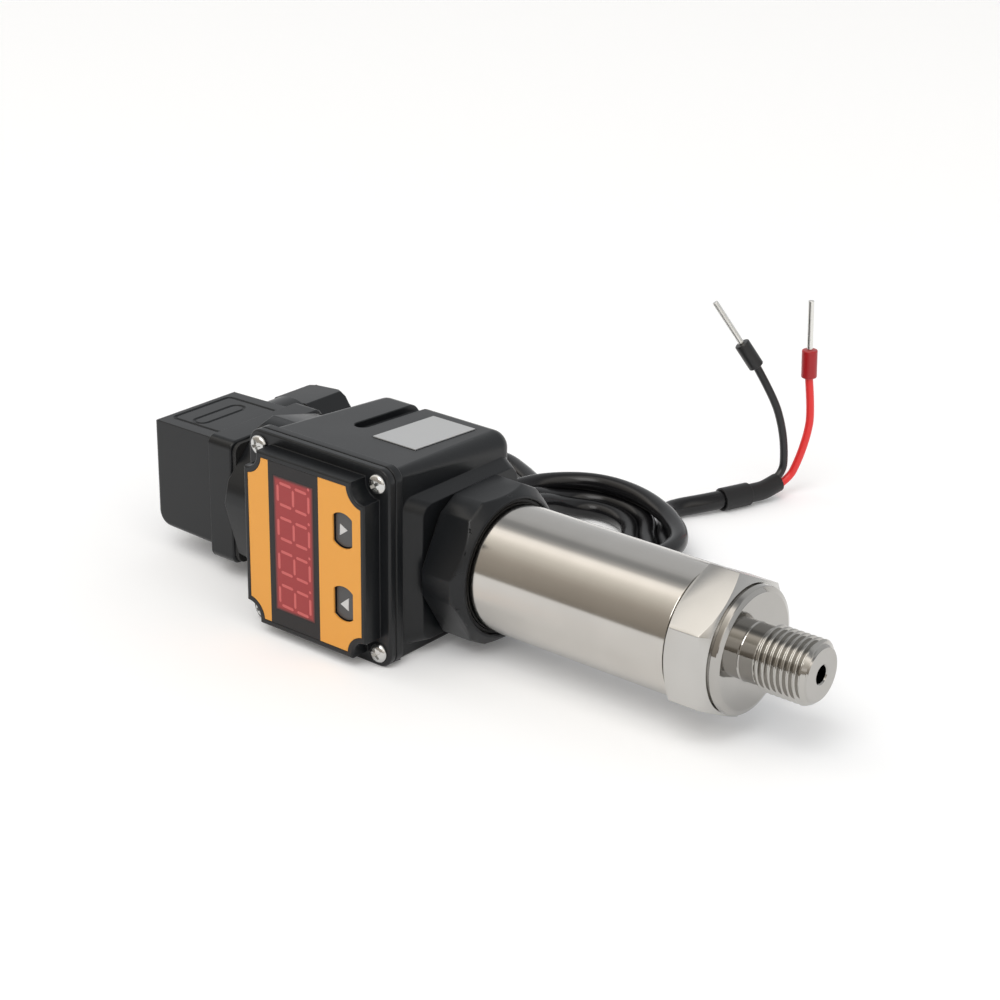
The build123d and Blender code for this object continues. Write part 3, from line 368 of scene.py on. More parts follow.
def combine(piece: bpy.types.Object, tool: bpy.types.Object, operation: str) -> None:
    """Applies a boolean of another object to this one and removes the other.

    Args:
        piece: the object that is changed.
        tool: the object that cuts, joins or limits it.
        operation: DIFFERENCE, UNION or INTERSECT.
    """
    boolean = piece.modifiers.new("boolean", "BOOLEAN")
    boolean.operation = operation
    boolean.solver = "EXACT"
    boolean.object = tool
    apply_modifiers(piece)
    bpy.data.objects.remove(tool)


def bevel(piece: bpy.types.Object, width: float, segments: int = 2, degrees: float = 32.0) -> None:
    """Rounds an object's sharp edges.

    Args:
        piece: the object.
        width: the bevel's width in millimetres.
        segments: the steps across the bevel.
        degrees: the smallest angle of an edge that is rounded.
    """
    rounding = piece.modifiers.new("bevel", "BEVEL")
    rounding.width = width * MM
    rounding.segments = segments
    rounding.limit_method = "ANGLE"
    rounding.angle_limit = math.radians(degrees)
    rounding.use_clamp_overlap = False
    rounding.loop_slide = False
    apply_modifiers(piece)


def flatten_faces(piece: bpy.types.Object, degrees: float = 62.0) -> None:
    """Turns the normals of a piece with rounded edges towards its large faces, so that they stay flat.

    Args:
        piece: the piece.
        degrees: the angle past which an edge stays sharp.
    """
    smooth_by_angle(piece.data, degrees)
    weighted = piece.modifiers.new("flat faces", "WEIGHTED_NORMAL")
    weighted.mode = "FACE_AREA"
    weighted.weight = 100
    weighted.keep_sharp = True
    apply_modifiers(piece)


def dress(
    piece: bpy.types.Object, finish: str, body: str = BODY, stands_for: Iterable[str] = ()
) -> bpy.types.Object:
    """Gives a piece its finish, its body and the solids that it stands for.

    Args:
        piece: the piece.
        finish: the finish's name.
        body: the body that carries it.
        stands_for: the solids' node names.

    Returns:
        The piece.
    """
    piece.data.materials.clear()
    piece.data.materials.append(FINISHES[finish].material(finish))
    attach(piece, body)
    for node in stands_for:
        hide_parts(node)
    LOG.info("%s: %s", piece.name, finish)
    return piece


@dataclass
class MouldedCopy:
    """A solid's shape with its doubles merged, its edges softly rounded and its round faces smooth."""

    node: str
    finish: str
    edge: float = 0.2
    body: str = BODY
    smooth: float = 28.0
    steps: int = 2
    weld: float = 2e-6
    flat: float = 0.6

    def build(self, frame: Dict) -> bpy.types.Object:
        """Builds the copy.


        Returns:
            The copy, which stands for the solid.
        """
        mesh = frame["nodes"][self.node].data.copy()
        tidy = bmesh.new()
        tidy.from_mesh(mesh)
        bmesh.ops.remove_doubles(tidy, verts=tidy.verts, dist=self.weld)
        flat = math.radians(self.flat)
        bmesh.ops.dissolve_limit(
            tidy, angle_limit=flat, verts=tidy.verts, edges=tidy.edges, delimit={"NORMAL"}
        )
        tidy.to_mesh(mesh)
        tidy.free()
        piece = new_object(f"{self.node}_dressed", mesh)
        if self.edge > 0.0:
            bevel(piece, self.edge, self.steps)
            flatten_faces(piece)
        else:
            smooth_by_angle(piece.data, self.smooth)
        return dress(piece, self.finish, self.body, (self.node,))


class GeometryTree:
    """A Geometry Nodes tree with named inputs, used once and made a plain mesh."""

    def __init__(self, name: str, inputs: Dict[str, float]) -> None:
        """Makes the tree.

        Args:
            name: the tree's name.
            inputs: the named inputs and their values.
        """
        self.tree = bpy.data.node_groups.new(name, "GeometryNodeTree")
        self.graph = Graph(self.tree)
        self.tree.interface.new_socket("Geometry", in_out="INPUT", socket_type="NodeSocketGeometry")
        self.keys: Dict[str, Tuple[str, float]] = {}
        for label, value in inputs.items():
            kind = "NodeSocketInt" if isinstance(value, int) else "NodeSocketFloat"
            socket = self.tree.interface.new_socket(label, in_out="INPUT", socket_type=kind)
            self.keys[label] = (socket.identifier, value)
        self.tree.interface.new_socket("Geometry", in_out="OUTPUT", socket_type="NodeSocketGeometry")
        self.source = self.graph.add("NodeGroupInput")
        self.sink = self.graph.add("NodeGroupOutput")

    def end_with(self, geometry: bpy.types.NodeSocket, material: bpy.types.Material) -> None:
        """Closes the tree with Realize Instances and Set Material."""
        realize = self.graph.add("GeometryNodeRealizeInstances")
        paint = self.graph.add("GeometryNodeSetMaterial")
        paint.inputs["Material"].default_value = material
        self.graph.join(geometry, realize.inputs["Geometry"])
        self.graph.join(realize.outputs["Geometry"], paint.inputs["Geometry"])
        self.graph.join(paint.outputs["Geometry"], self.sink.inputs["Geometry"])

    def apply(self, piece: bpy.types.Object) -> bpy.types.Object:
        """Runs the tree on an object and keeps the result as its mesh.

        Args:
            piece: the object that carries the modifier.

        Returns:
            The same object.
        """
        modifier = piece.modifiers.new(self.tree.name, "NODES")
        modifier.node_group = self.tree
        for identifier, value in self.keys.values():
            modifier[identifier] = value
        apply_modifiers(piece)
        return piece


def row_of(piece: bpy.types.Object, count: int, step: Point, finish: str) -> bpy.types.Object:
    """Repeats a piece along a line.

    Args:
        piece: the piece, which stays as the first of the row.
        count: how many there are.
        step: the step from one to the next, in millimetres.
        finish: the row's finish.

    Returns:
        The row as one plain mesh.
    """
    sizes = {"Count": count, "Step X": step[0] * MM, "Step Y": step[1] * MM, "Step Z": step[2] * MM}
    made = GeometryTree(f"{piece.name} row", sizes)
    graph = made.graph
    offset = graph.add("ShaderNodeCombineXYZ")
    for axis in "XYZ":
        graph.join(made.source.outputs[f"Step {axis}"], offset.inputs[axis])
    line = graph.add("GeometryNodeMeshLine", mode="OFFSET")
    graph.join(made.source.outputs["Count"], line.inputs["Count"])
    graph.join(offset.outputs["Vector"], line.inputs["Offset"])
    spread = graph.add("GeometryNodeInstanceOnPoints")
    graph.join(line.outputs["Mesh"], spread.inputs["Points"])
    graph.join(made.source.outputs["Geometry"], spread.inputs["Instance"])
    made.end_with(spread.outputs["Instances"], FINISHES[finish].material(finish))
    return made.apply(piece)


@dataclass
class ProcessFitting:
    """The turned fitting: pocket, spigot, hexagon, collar, neck, thread and port."""

    hex_flats: float = 27.0
    hex_start: float = -11.8
    hex_end: float = -2.2
    hex_turn: float = 33.6
    hex_face_radius: float = 13.0
    spigot_start: float = -25.8
    spigot_radius: float = 11.95
    pocket_radius: float = 9.6
    pocket_floor: float = -16.8
    groove_radius: float = 12.3
    groove_end: float = -1.7
    collar_radius: float = 12.9
    collar_face_radius: float = 11.7
    neck_radius: float = 5.85
    thread_start: float = 3.3
    thread_end: float = 14.8
    thread_radius: float = 6.5785
    thread_pitch: float = 1.337
    thread_depth: float = 0.856
    thread_chamfer: float = 1.3
    thread_core_gap: float = 0.1
    thread_crest: float = 0.08
    thread_root: float = 0.86
    thread_entry_slope: float = 1.1
    thread_steps: Tuple[int, int] = (240, 181)
    port_radius: float = 1.8
    countersink: float = 0.25
    edge: float = 0.12
    smooth: float = 20.0

    def build(self) -> None:
        """Builds the turned body, the hexagon and the thread, which stand for the fitting's solid."""
        core = self.thread_radius - self.thread_depth - self.thread_core_gap
        body = lathe(
            "fitting_body",
            [
                (self.spigot_start, self.pocket_radius),
                (self.spigot_start, self.spigot_radius),
                (self.hex_end, self.spigot_radius),
                (self.hex_end, self.groove_radius),
                (self.groove_end, self.groove_radius),
                (self.groove_end, self.collar_radius - 0.15),
                (self.groove_end + 0.15, self.collar_radius),
                (-0.55, self.collar_radius - 0.1),
                (-0.42, self.collar_radius - 0.22),
                (-0.06, self.collar_face_radius + 0.12),
                (0.0, self.collar_face_radius),
                (0.0, self.neck_radius + 0.25),
                (0.08, self.neck_radius + 0.08),
                (0.25, self.neck_radius),
                (self.thread_start, self.neck_radius),
                (self.thread_start + 0.3, core),
                (self.thread_end - 0.3, core),
                (self.thread_end, core - 0.35),
                (self.thread_end, self.port_radius + self.countersink),
                (self.thread_end - self.countersink, self.port_radius),
                (self.pocket_floor, self.port_radius),
                (self.pocket_floor, self.pocket_radius),
            ],
        )
        smooth_by_angle(body.data, self.smooth)
        dress(body, "polished steel", stands_for=("process_fitting",))
        self._hexagon()
        self._thread()

    def _hexagon(self) -> None:
        """Builds the milled hexagon with both of its ends bevelled by a cone."""
        corner = self.hex_flats / math.sqrt(3)
        cone = (corner - self.hex_face_radius) * math.tan(math.radians(30))
        outline = [
            (corner * math.cos(angle), corner * math.sin(angle))
            for angle in (math.radians(self.hex_turn + 60 * k) for k in range(6))
        ]
        hexagon = prism("fitting_hexagon", outline, self.hex_start, self.hex_end)
        limit = lathe(
            "hexagon_limit",
            [
                (self.hex_start, self.spigot_radius - 2),
                (self.hex_start, self.hex_face_radius),
                (self.hex_start + cone, corner + 0.01),
                (self.hex_end - cone, corner + 0.01),
                (self.hex_end, self.hex_face_radius),
                (self.hex_end, self.spigot_radius - 2),
            ],
        )
        combine(hexagon, limit, "INTERSECT")
        bevel(hexagon, self.edge, degrees=35.0)
        smooth_by_angle(hexagon.data, self.smooth)
        dress(hexagon, "milled steel", stands_for=("process_fitting",))

    def _thread(self) -> None:
        """Builds the thread by rule: a grid bent round the axis whose radius follows the helix."""
        sizes = {
            "Start": self.thread_start * MM,
            "Length": (self.thread_end - self.thread_start) * MM,
            "Radius": self.thread_radius * MM,
            "Depth": self.thread_depth * MM,
            "Pitch": self.thread_pitch * MM,
            "Chamfer": self.thread_chamfer * MM,
        }
        made = GeometryTree("process thread", sizes)
        graph = made.graph
        value = made.source.outputs
        grid = graph.add("GeometryNodeMeshGrid")
        grid.inputs["Vertices X"].default_value = self.thread_steps[0]
        grid.inputs["Vertices Y"].default_value = self.thread_steps[1]
        place = graph.add("GeometryNodeInputPosition")
        split = graph.add("ShaderNodeSeparateXYZ")
        graph.join(place.outputs["Position"], split.inputs["Vector"])
        along = graph.maths("ADD", split.outputs["X"], 0.5)
        around = graph.maths("ADD", split.outputs["Y"], 0.5)
        station = graph.maths("MULTIPLY", along, value["Length"])
        turns = graph.maths("SUBTRACT", graph.maths("DIVIDE", station, value["Pitch"]), around)
        phase = graph.maths("FRACT", graph.maths("ADD", turns, 4.0))
        rise = graph.maths("MULTIPLY", graph.maths("ABSOLUTE", graph.maths("SUBTRACT", phase, 0.5)), 2.0)
        flank = graph.add("ShaderNodeMapRange", interpolation_type="SMOOTHSTEP")
        flank.inputs["From Min"].default_value = self.thread_crest
        flank.inputs["From Max"].default_value = self.thread_root
        graph.join(rise, flank.inputs["Value"])
        cut = graph.maths("MULTIPLY", flank.outputs["Result"], value["Depth"])
        ridge = graph.maths("SUBTRACT", value["Radius"], cut)
        left = graph.maths("SUBTRACT", value["Length"], station)
        bottom = graph.maths("SUBTRACT", value["Radius"], value["Chamfer"])
        nose = graph.maths("ADD", bottom, left)
        root = graph.maths("SUBTRACT", value["Radius"], value["Depth"])
        entry = graph.maths("ADD", root, graph.maths("MULTIPLY", station, self.thread_entry_slope))
        radius = graph.maths("MINIMUM", graph.maths("MINIMUM", ridge, nose), entry)
        angle = graph.maths("MULTIPLY", around, 2 * math.pi)
        bent = graph.add("ShaderNodeCombineXYZ")
        graph.join(graph.maths("ADD", value["Start"], station), bent.inputs["X"])
        graph.join(graph.maths("MULTIPLY", radius, graph.maths("COSINE", angle)), bent.inputs["Y"])
        graph.join(graph.maths("MULTIPLY", radius, graph.maths("SINE", angle)), bent.inputs["Z"])
        move = graph.add("GeometryNodeSetPosition")
        graph.join(grid.outputs["Mesh"], move.inputs["Geometry"])
        graph.join(bent.outputs["Vector"], move.inputs["Position"])
        merge = graph.add("GeometryNodeMergeByDistance")
        merge.inputs["Distance"].default_value = WELD
        graph.join(move.outputs["Geometry"], merge.inputs["Geometry"])
        made.end_with(merge.outputs["Geometry"], FINISHES["turned steel"].material("turned steel"))
        thread = made.apply(new_object("fitting_thread", bpy.data.meshes.new("fitting_thread")))
        smooth_by_angle(thread.data, 50.0)
        dress(thread, "turned steel", stands_for=("process_fitting",))


@dataclass
class SensorTube:
    """The plain tube between the hexagon and the front plug base."""

    radius: float = 13.5
    bore: float = 12.0
    start: float = -63.6
    end: float = -11.8
    edge: float = 0.15

    def build(self) -> None:
        """Builds the tube with its softly broken edges."""
        tube = lathe(
            "sensor_tube_dressed",
            [
                (self.start, self.bore),
                (self.start, self.radius - self.edge),
                (self.start + self.edge, self.radius),
                (self.end - self.edge, self.radius),
                (self.end - self.edge / 3, self.radius - self.edge / 3),
                (self.end, self.radius - self.edge),
                (self.end, self.bore),
            ],
        )
        smooth_by_angle(tube.data, 20.0)
        dress(tube, "brushed tube", stands_for=("sensor_tube",))


@dataclass
class DisplayHead:
    """The head's cover, its film with a dark band, its window and digits, keys and screws."""

    film_front: float = -28.4
    print_depth: float = 0.05
    band_left: float = -99.4
    band_right: float = -85.6
    window_left: float = -98.0
    window_right: float = -87.0
    window_bottom: float = -11.3
    window_top: float = 18.45
    window_fade: float = 0.9
    band_colour: Colour = (0.016, 0.015, 0.016)
    window_edge_colour: Colour = (0.032, 0.022, 0.022)
    digit_pitch: float = 7.5
    digit_height: float = 8.5
    digit_width: float = 4.6
    segment: float = 0.62
    segment_gap: float = 0.465
    dot_offset: float = 1.1
    digits_drop: float = 0.2
    slant: float = 0.06
    key_x: float = -79.1
    key_z: Tuple[float, float] = (11.5, -4.45)
    key_front: float = -27.7
    arrow_depth: float = 0.2
    screw_x: Tuple[float, float] = (-105.93, -73.53)
    screw_z: Tuple[float, float] = (-15.05, 21.65)
    screw_face: float = -24.0
    head_radius: float = 2.1
    head_height: float = 1.2
    shank_radius: float = 0.9
    shank_end: float = -5.5
    recess_reach: float = 1.25
    recess_half: float = 0.34
    recess_floor: float = 0.45
    recess_turns: Tuple[float, float] = (20.0, 34.0)

    def build(self, frame: Dict) -> None:
        """Builds the head's outer pieces.
        """
        for node, finish, edge in (
            ("display_housing", "black plastic", 0.25),
            ("front_cover", "black plastic", 0.15),
            ("cover_gasket", "black gasket", 0.0),
            ("display_window", "red window", 0.0),
            ("blank_label", "silver label", 0.0),
        ):
            MouldedCopy(node, finish, edge).build(frame)
        self._film(frame)
        self._digits()
        for name, z, arrow in (
            ("button_up", self.key_z[0], ((-1.25, 1.0), (-1.35, -1.52), (0.74, 0.0))),
            ("button_down", self.key_z[1], ((0.85, 1.28), (-1.42, -0.6), (0.75, -1.57))),
        ):
            MouldedCopy(name, "key plastic", 0.12, body=name).build(frame)
            outline = [(self.key_x + x, z + height) for x, height in arrow]
            front = self.key_front - 0.01
            mark = plate(f"{name}_arrow", outline, front, front + self.arrow_depth)
            dress(mark, "key arrow", name, (name,))
        self._screws()

    def _film(self, frame: Dict) -> None:
        """Dresses the film and prints its dark band by the object's own X."""
        MouldedCopy("faceplate", "orange film", 0.0).build(frame)
        material = FINISHES["orange film"].material("orange film")
        graph = Graph(material.node_tree)
        shader = material.node_tree.nodes["Principled BSDF"]
        axes = graph.axes()
        right_of = graph.maths("GREATER_THAN", axes["X"], self.band_left * MM)
        left_of = graph.maths("LESS_THAN", axes["X"], self.band_right * MM)
        print_mix = graph.add("ShaderNodeMix", data_type="RGBA")
        graph.join(graph.maths("MULTIPLY", right_of, left_of), print_mix.inputs["Factor"])
        print_mix.inputs[6].default_value = (*FINISHES["orange film"].colour, 1.0)
        print_mix.inputs[7].default_value = (*self.band_colour, 1.0)
        graph.join(print_mix.outputs[2], shader.inputs["Base Color"])
        self._soften_window()

    def _soften_window(self) -> None:
        """Lets the window's red fade into the dark band at its edges, by the object's own X and Z."""
        material = FINISHES["red window"].material("red window")
        graph = Graph(material.node_tree)
        axes = graph.axes()
        insets = []
        for axis, low, high in (
            ("X", self.window_left, self.window_right),
            ("Z", self.window_bottom, self.window_top),
        ):
            from_low = graph.maths("SUBTRACT", axes[axis], low * MM)
            from_high = graph.maths("SUBTRACT", high * MM, axes[axis])
            insets.append(graph.maths("MINIMUM", from_low, from_high))
        fade = graph.add("ShaderNodeMapRange", interpolation_type="SMOOTHSTEP")
        fade.inputs["From Min"].default_value = -0.1 * MM
        fade.inputs["From Max"].default_value = self.window_fade * MM
        graph.join(graph.maths("MINIMUM", *insets), fade.inputs["Value"])
        blend = graph.add("ShaderNodeMix", data_type="RGBA")
        graph.join(fade.outputs["Result"], blend.inputs["Factor"])
        blend.inputs[6].default_value = (*self.window_edge_colour, 1.0)
        blend.inputs[7].default_value = (*FINISHES["red window"].colour, 1.0)
        graph.join(blend.outputs[2], material.node_tree.nodes["Principled BSDF"].inputs["Base Color"])

    def _bar(self, start: Tuple[float, float], end: Tuple[float, float]) -> List[Tuple[float, float]]:
        """Gives the six corners of one segment.

        Args:
            start: the digit's corner at its lower or left end.
            end: the digit's corner at its upper or right end.

        Returns:
            The corners as (along, up) points in millimetres.
        """
        half = self.segment / 2
        tip = self.segment_gap
        shoulder = tip + half
        level = start[1] == end[1]
        corners = (
            (tip, 0), (shoulder, half), (-shoulder, half),
            (-tip, 0), (-shoulder, -half), (shoulder, -half),
        )
        bar = []
        for reach, side in corners:
            along, up = start if reach > 0 else end
            bar.append((along + reach, up + side) if level else (along + side, up + reach))
        return bar

    def _digits(self) -> None:
        """Builds one digit of seven segments and its dot, and repeats it up the window."""
        half = self.segment / 2
        low, high = -self.digit_width / 2, self.digit_width / 2
        floor, roof = -self.digit_height / 2, self.digit_height / 2
        bars = [self._bar((low, level), (high, level)) for level in (floor, 0.0, roof)]
        for side in (low, high):
            bars += [self._bar((side, floor), (side, 0.0)), self._bar((side, 0.0), (side, roof))]
        dot = high + self.dot_offset
        turns = [math.radians(30 * step) for step in range(12)]
        bars.append([(dot + half * math.cos(turn), floor + half * math.sin(turn)) for turn in turns])
        points: List[Point] = []
        faces: List[Sequence[int]] = []
        front = self.film_front - 0.02
        centre_x = (self.window_left + self.window_right) / 2
        first_z = (self.window_bottom + self.window_top) / 2 - 1.5 * self.digit_pitch - self.digits_drop
        for bar in bars:
            count = len(bar)
            base = len(points)
            for depth in (front, front + self.print_depth):
                points += [(centre_x - up, depth, first_z + along + self.slant * up) for along, up in bar]
            faces.append(range(base, base + count))
            faces.append(range(base + count, base + 2 * count))
            faces += [
                (base + i, base + (i + 1) % count, base + count + (i + 1) % count, base + count + i)
                for i in range(count)
            ]
        digit = from_faces("display_digits", points, faces)
        row_of(digit, 4, (0.0, 0.0, self.digit_pitch), "lit segment")
        dress(digit, "lit segment", stands_for=("display_window",))

    def _screws(self) -> None:
        """Builds one cross-recessed pan head and repeats it over the cover's corners."""
        for column, x in enumerate(self.screw_x):
            head = lathe(
                f"cover_screws_{column}",
                [
                    (self.shank_end, 0.0),
                    (self.shank_end, self.shank_radius),
                    (0.0, self.shank_radius),
                    (0.0, self.head_radius - 0.1),
                    (0.2, self.head_radius),
                    (0.5, self.head_radius * 0.97),
                    (0.82, self.head_radius * 0.83),
                    (1.06, self.head_radius * 0.55),
                    (self.head_height, self.head_radius * 0.25),
                    (self.head_height, 0.0),
                ],
                48,
            )
            reach, half = self.recess_reach, self.recess_half
            arm = [(-reach, -half), (reach, -half), (reach, half), (-reach, half)]
            for quarter in (0.0, 90.0):
                cut = prism("recess", arm, self.recess_floor, 2 * self.head_height)
                turn = math.radians(self.recess_turns[column] + quarter)
                cut.data.transform(Matrix.Rotation(turn, 4, "X"))
                combine(head, cut, "DIFFERENCE")
            turned = Matrix(((0, 1, 0, 0), (-1, 0, 0, 0), (0, 0, 1, 0), (0, 0, 0, 1)))
            place = Vector((x, self.screw_face, self.screw_z[0])) * MM
            head.data.transform(Matrix.Translation(place) @ turned)
            smooth_by_angle(head.data, 32.0)
            row_of(head, 2, (0.0, 0.0, self.screw_z[1] - self.screw_z[0]), "zinc plate")
            dress(head, "zinc plate", stands_for=("cover_screws",))


@dataclass
class CablePlug:
    """The two plug bases, the plug's shell and its gland."""

    def build(self, frame: Dict) -> None:
        """Builds the dressed copies of the joint's and the plug's outer solids.
        """
        for node, finish, edge in (
            ("plug_base", "black plastic", 0.35),
            ("rear_base", "black plastic", 0.35),
            ("plug_shell", "black plastic", 0.2),
            ("gland_nut", "black plastic", 0.3),
            ("tube_seal", "black gasket", 0.1),
            ("base_gasket", "black gasket", 0.0),
            ("rear_gasket", "black gasket", 0.0),
        ):
            MouldedCopy(node, finish, edge).build(frame)


@dataclass
class Interior:
    """The pieces inside, which keep their solids and get their finishes."""

    nodes: Dict[str, Sequence[str]] = field(
        default_factory=lambda: {
            "white ceramic": ("sensor_cell",),
            "black gasket": ("cell_seal", "gland_seal"),
            "turned steel": ("cell_ring",),
            "green board": ("sensor_board", "display_board", "loop_board"),
            "turned brass": ("base_insert", "rear_insert"),
            "tin plate": ("base_contacts", "rear_contacts", "socket_contacts", "plug_contacts"),
            "zinc plate": ("head_screw", "plug_screw", "terminal_screws"),
            "display block": ("led_module",),
            "switch plastic": ("key_switches",),
            "black plastic": ("rear_nut",),
            "grey insert": ("terminal_insert", "gland_washer"),
        }
    )

    def build(self, frame: Dict) -> None:
        """Gives each inner solid its finish.
        """
        for finish, nodes in self.nodes.items():
            for node in nodes:
                solid = frame["nodes"][node]
                solid.data.materials.clear()
                solid.data.materials.append(FINISHES[finish].material(finish))
                LOG.info("%s keeps its solid: %s", node, finish)


def cord_curve(name: str, points: Sequence[Point], radius: float, finish: str) -> bpy.types.Object:
    """Makes a round cord along one smooth spline.

    Args:
        name: the object's name.
        points: the spline's points in millimetres.
        radius: the cord's radius in millimetres.
        finish: the cord's finish.

    Returns:
        The curve object.
    """
    curve = bpy.data.curves.new(name, "CURVE")
    curve.dimensions = "3D"
    curve.bevel_depth = radius * MM
    curve.bevel_resolution = 8
    curve.resolution_u = 10
    curve.use_fill_caps = True
    spline = curve.splines.new("NURBS")
    spline.points.add(len(points) - 1)
    for slot, point in zip(spline.points, points):
        slot.co = (*(part * MM for part in point), 1.0)
    spline.order_u = 3
    spline.use_endpoint_u = True
    curve.materials.append(FINISHES[finish].material(finish))
    piece = bpy.data.objects.new(name, curve)
    bpy.context.scene.collection.objects.link(piece)
    return piece


def route_length(points: Sequence[Point]) -> float:
    """Gives the length of a route through points, in the points' own unit."""
    return sum(math.dist(first, second) for first, second in zip(points, points[1:]))


@dataclass
class Cable:
    """The jacketed cable with its loose turns, the sleeves, the cores and their ferrules.

    Each row of turns is an angle in degrees, and the coil's radius and its lift off the floor there.
    """

    radius: float = 2.2
    floor: float = -16.0
    length: float = 0.61
    coil_x: float = -75.5
    coil_y: float = 47.5
    coil_step: float = 11.0
    lead: Sequence[Point] = (
        (-141.1, 8.0, 1.2),
        (-141.1, 42.0, 1.2),
        (-140.8, 53.0, -8.8),
        (-140.4, 69.0, -16.0),
        (-125.4, 77.9, -16.0),
        (-109.6, 70.6, -16.0),
        (-101.8, 65.0, -16.0),
    )
    turns: Sequence[Tuple[float, float, float]] = (
        (162, 24.6, 0), (180, 20.5, 0), (200, 15.5, 0), (235, 12.2, 0),
        (270, 11.0, 0), (315, 10.0, 0), (360, 9.7, 0), (400, 9.9, 0),
        (420, 10.7, 0), (432, 12.2, 0), (443, 14.6, 0), (455, 17.2, 0),
        (464, 18.9, 0), (473, 20.5, 0), (483, 21.6, 0), (496, 21.2, 0.6),
        (506, 19.9, 2.0), (517, 18.7, 3.8), (530, 18.0, 4.6), (550, 17.6, 4.6),
        (572, 17.2, 3.5), (590, 17.0, 1.2), (610, 16.7, 0), (650, 16.2, 0),
        (690, 15.4, 0), (720, 14.7, 0), (745, 14.3, 0), (765, 14.3, 0),
        (780, 15.0, 0), (790, 16.7, 0.2), (796, 18.2, 0.4), (803, 20.0, 0.5),
        (815, 22.2, 0.6), (824, 23.8, 0.6), (833, 25.4, 0.6), (843, 26.3, 0.6),
        (856, 26.0, 0.8), (866, 24.5, 1.8), (877, 22.9, 3.8), (890, 22.2, 4.6),
        (905, 21.6, 4.6), (925, 21.2, 3.4), (945, 20.9, 1.6), (965, 20.8, 1.0),
        (990, 20.8, 1.6), (1015, 21.0, 3.2), (1040, 21.4, 4.4), (1060, 21.6, 4.6),
        (1096, 21.5, 4.6), (1112, 20.6, 4.6), (1128, 19.9, 4.6), (1143, 20.1, 4.6),
        (1157, 20.7, 4.6), (1169, 22.2, 4.6), (1181, 23.6, 4.6), (1190, 25.4, 4.6),
        (1200, 26.6, 4.6), (1209, 27.6, 4.6), (1219, 27.9, 4.6), (1230, 28.1, 4.6),
        (1245, 27.6, 4.6), (1262, 26.8, 4.6), (1280, 26.2, 4.4), (1300, 25.8, 3.0),
        (1325, 25.6, 1.2), (1350, 25.2, 0), (1375, 24.4, 0), (1400, 23.0, 0),
        (1420, 21.4, 0), (1440, 20.0, 0), (1460, 18.9, 0), (1480, 18.4, 0),
        (1495, 18.7, 0),
    )
    tail: Sequence[Point] = (
        (-66.4, 65.6, -16.0),
        (-69.0, 69.6, -16.0),
        (-71.9, 73.2, -16.0),
        (-74.0, 77.4, -16.0),
        (-68.2, 86.2, -15.4),
        (-64.4, 96.2, -15.4),
    )
    black: Sequence[Point] = (
        (-62.4, 101.86, -14.07),
        (-61.2, 106.4, -12.9),
        (-61.5, 106.8, -6.2),
        (-62.3, 106.0, 0.3),
        (-64.0, 104.6, 6.7),
        (-67.5, 101.8, 14.4),
    )
    red: Sequence[Point] = (
        (-62.29, 102.3, -15.95),
        (-60.6, 107.9, -14.5),
        (-59.0, 109.3, -9.4),
        (-57.4, 109.9, -2.8),
        (-56.9, 110.3, 3.0),
        (-57.8, 109.6, 11.9),
    )
    core_radius: float = 0.95
    core_share: float = 0.97
    exit: Point = (-141.1, 35.2, 1.2)

    def _radius_and_lift(self, angle: float) -> Tuple[float, float]:
        """Works out the coil's radius and lift at an angle, smoothly between the rows of turns.

        Args:
            angle: the angle in degrees.

        Returns:
            The radius and the lift, in millimetres.
        """
        rows = [self.turns[0], *self.turns, self.turns[-1]]
        for first, before, after, last in zip(rows, rows[1:], rows[2:], rows[3:]):
            if before[0] <= angle <= after[0]:
                break
        span = after[0] - before[0]
        share = (angle - before[0]) / span
        ease = share * share * (3 - 2 * share)
        leaving = span * (after[1] - first[1]) / (after[0] - first[0])
        arriving = span * (last[1] - before[1]) / (last[0] - before[0])
        radius = before[1] + ease * (after[1] - before[1])
        radius += share * (1 - share) * ((1 - share) * leaving - share * arriving)
        return radius, before[2] + ease * (after[2] - before[2])

    def coil_points(self) -> List[Point]:
        """Works out the coil's points, one for each step of its angle, in millimetres."""
        points = []
        angle = self.turns[0][0]
        while angle <= self.turns[-1][0]:
            radius, lift = self._radius_and_lift(angle)
            turn = math.radians(angle)
            x = self.coil_x + radius * math.cos(turn)
            y = self.coil_y + radius * math.sin(turn)
            points.append((x, y, self.floor + lift))
            angle += self.coil_step
        return points

    def build(self, frame: Dict) -> None:
        """Builds the cable, its sleeves and its two cores.
        """
        route = [*self.lead, *self.coil_points(), *self.tail]
        LOG.info("cable route %.1f mm", route_length(route))
        cable = cord_curve("cable", route, self.radius, "cable jacket")
        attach(cable, BODY)
        for node in ("cable_lead", "cable_coil", "cable_tail"):
            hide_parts(node)
        sleeves = [
            MouldedCopy("sleeve_large", "shrink sleeve", 0.12).build(frame),
            MouldedCopy("sleeve_small", "shrink sleeve", 0.08).build(frame),
        ]
        for name, points, finish, collar_finish in (
            ("black", self.black, "black core", "black core"),
            ("red", self.red, "red core", "red collar"),
        ):
            core = cord_curve(f"core_{name}_dressed", points, self.core_radius, finish)
            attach(core, BODY)
            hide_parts(f"core_{name}")
            collar = MouldedCopy(f"ferrule_collar_{name}", collar_finish, 0.0).build(frame)
            pin = MouldedCopy(f"ferrule_pin_{name}", "tin plate", 0.1).build(frame)


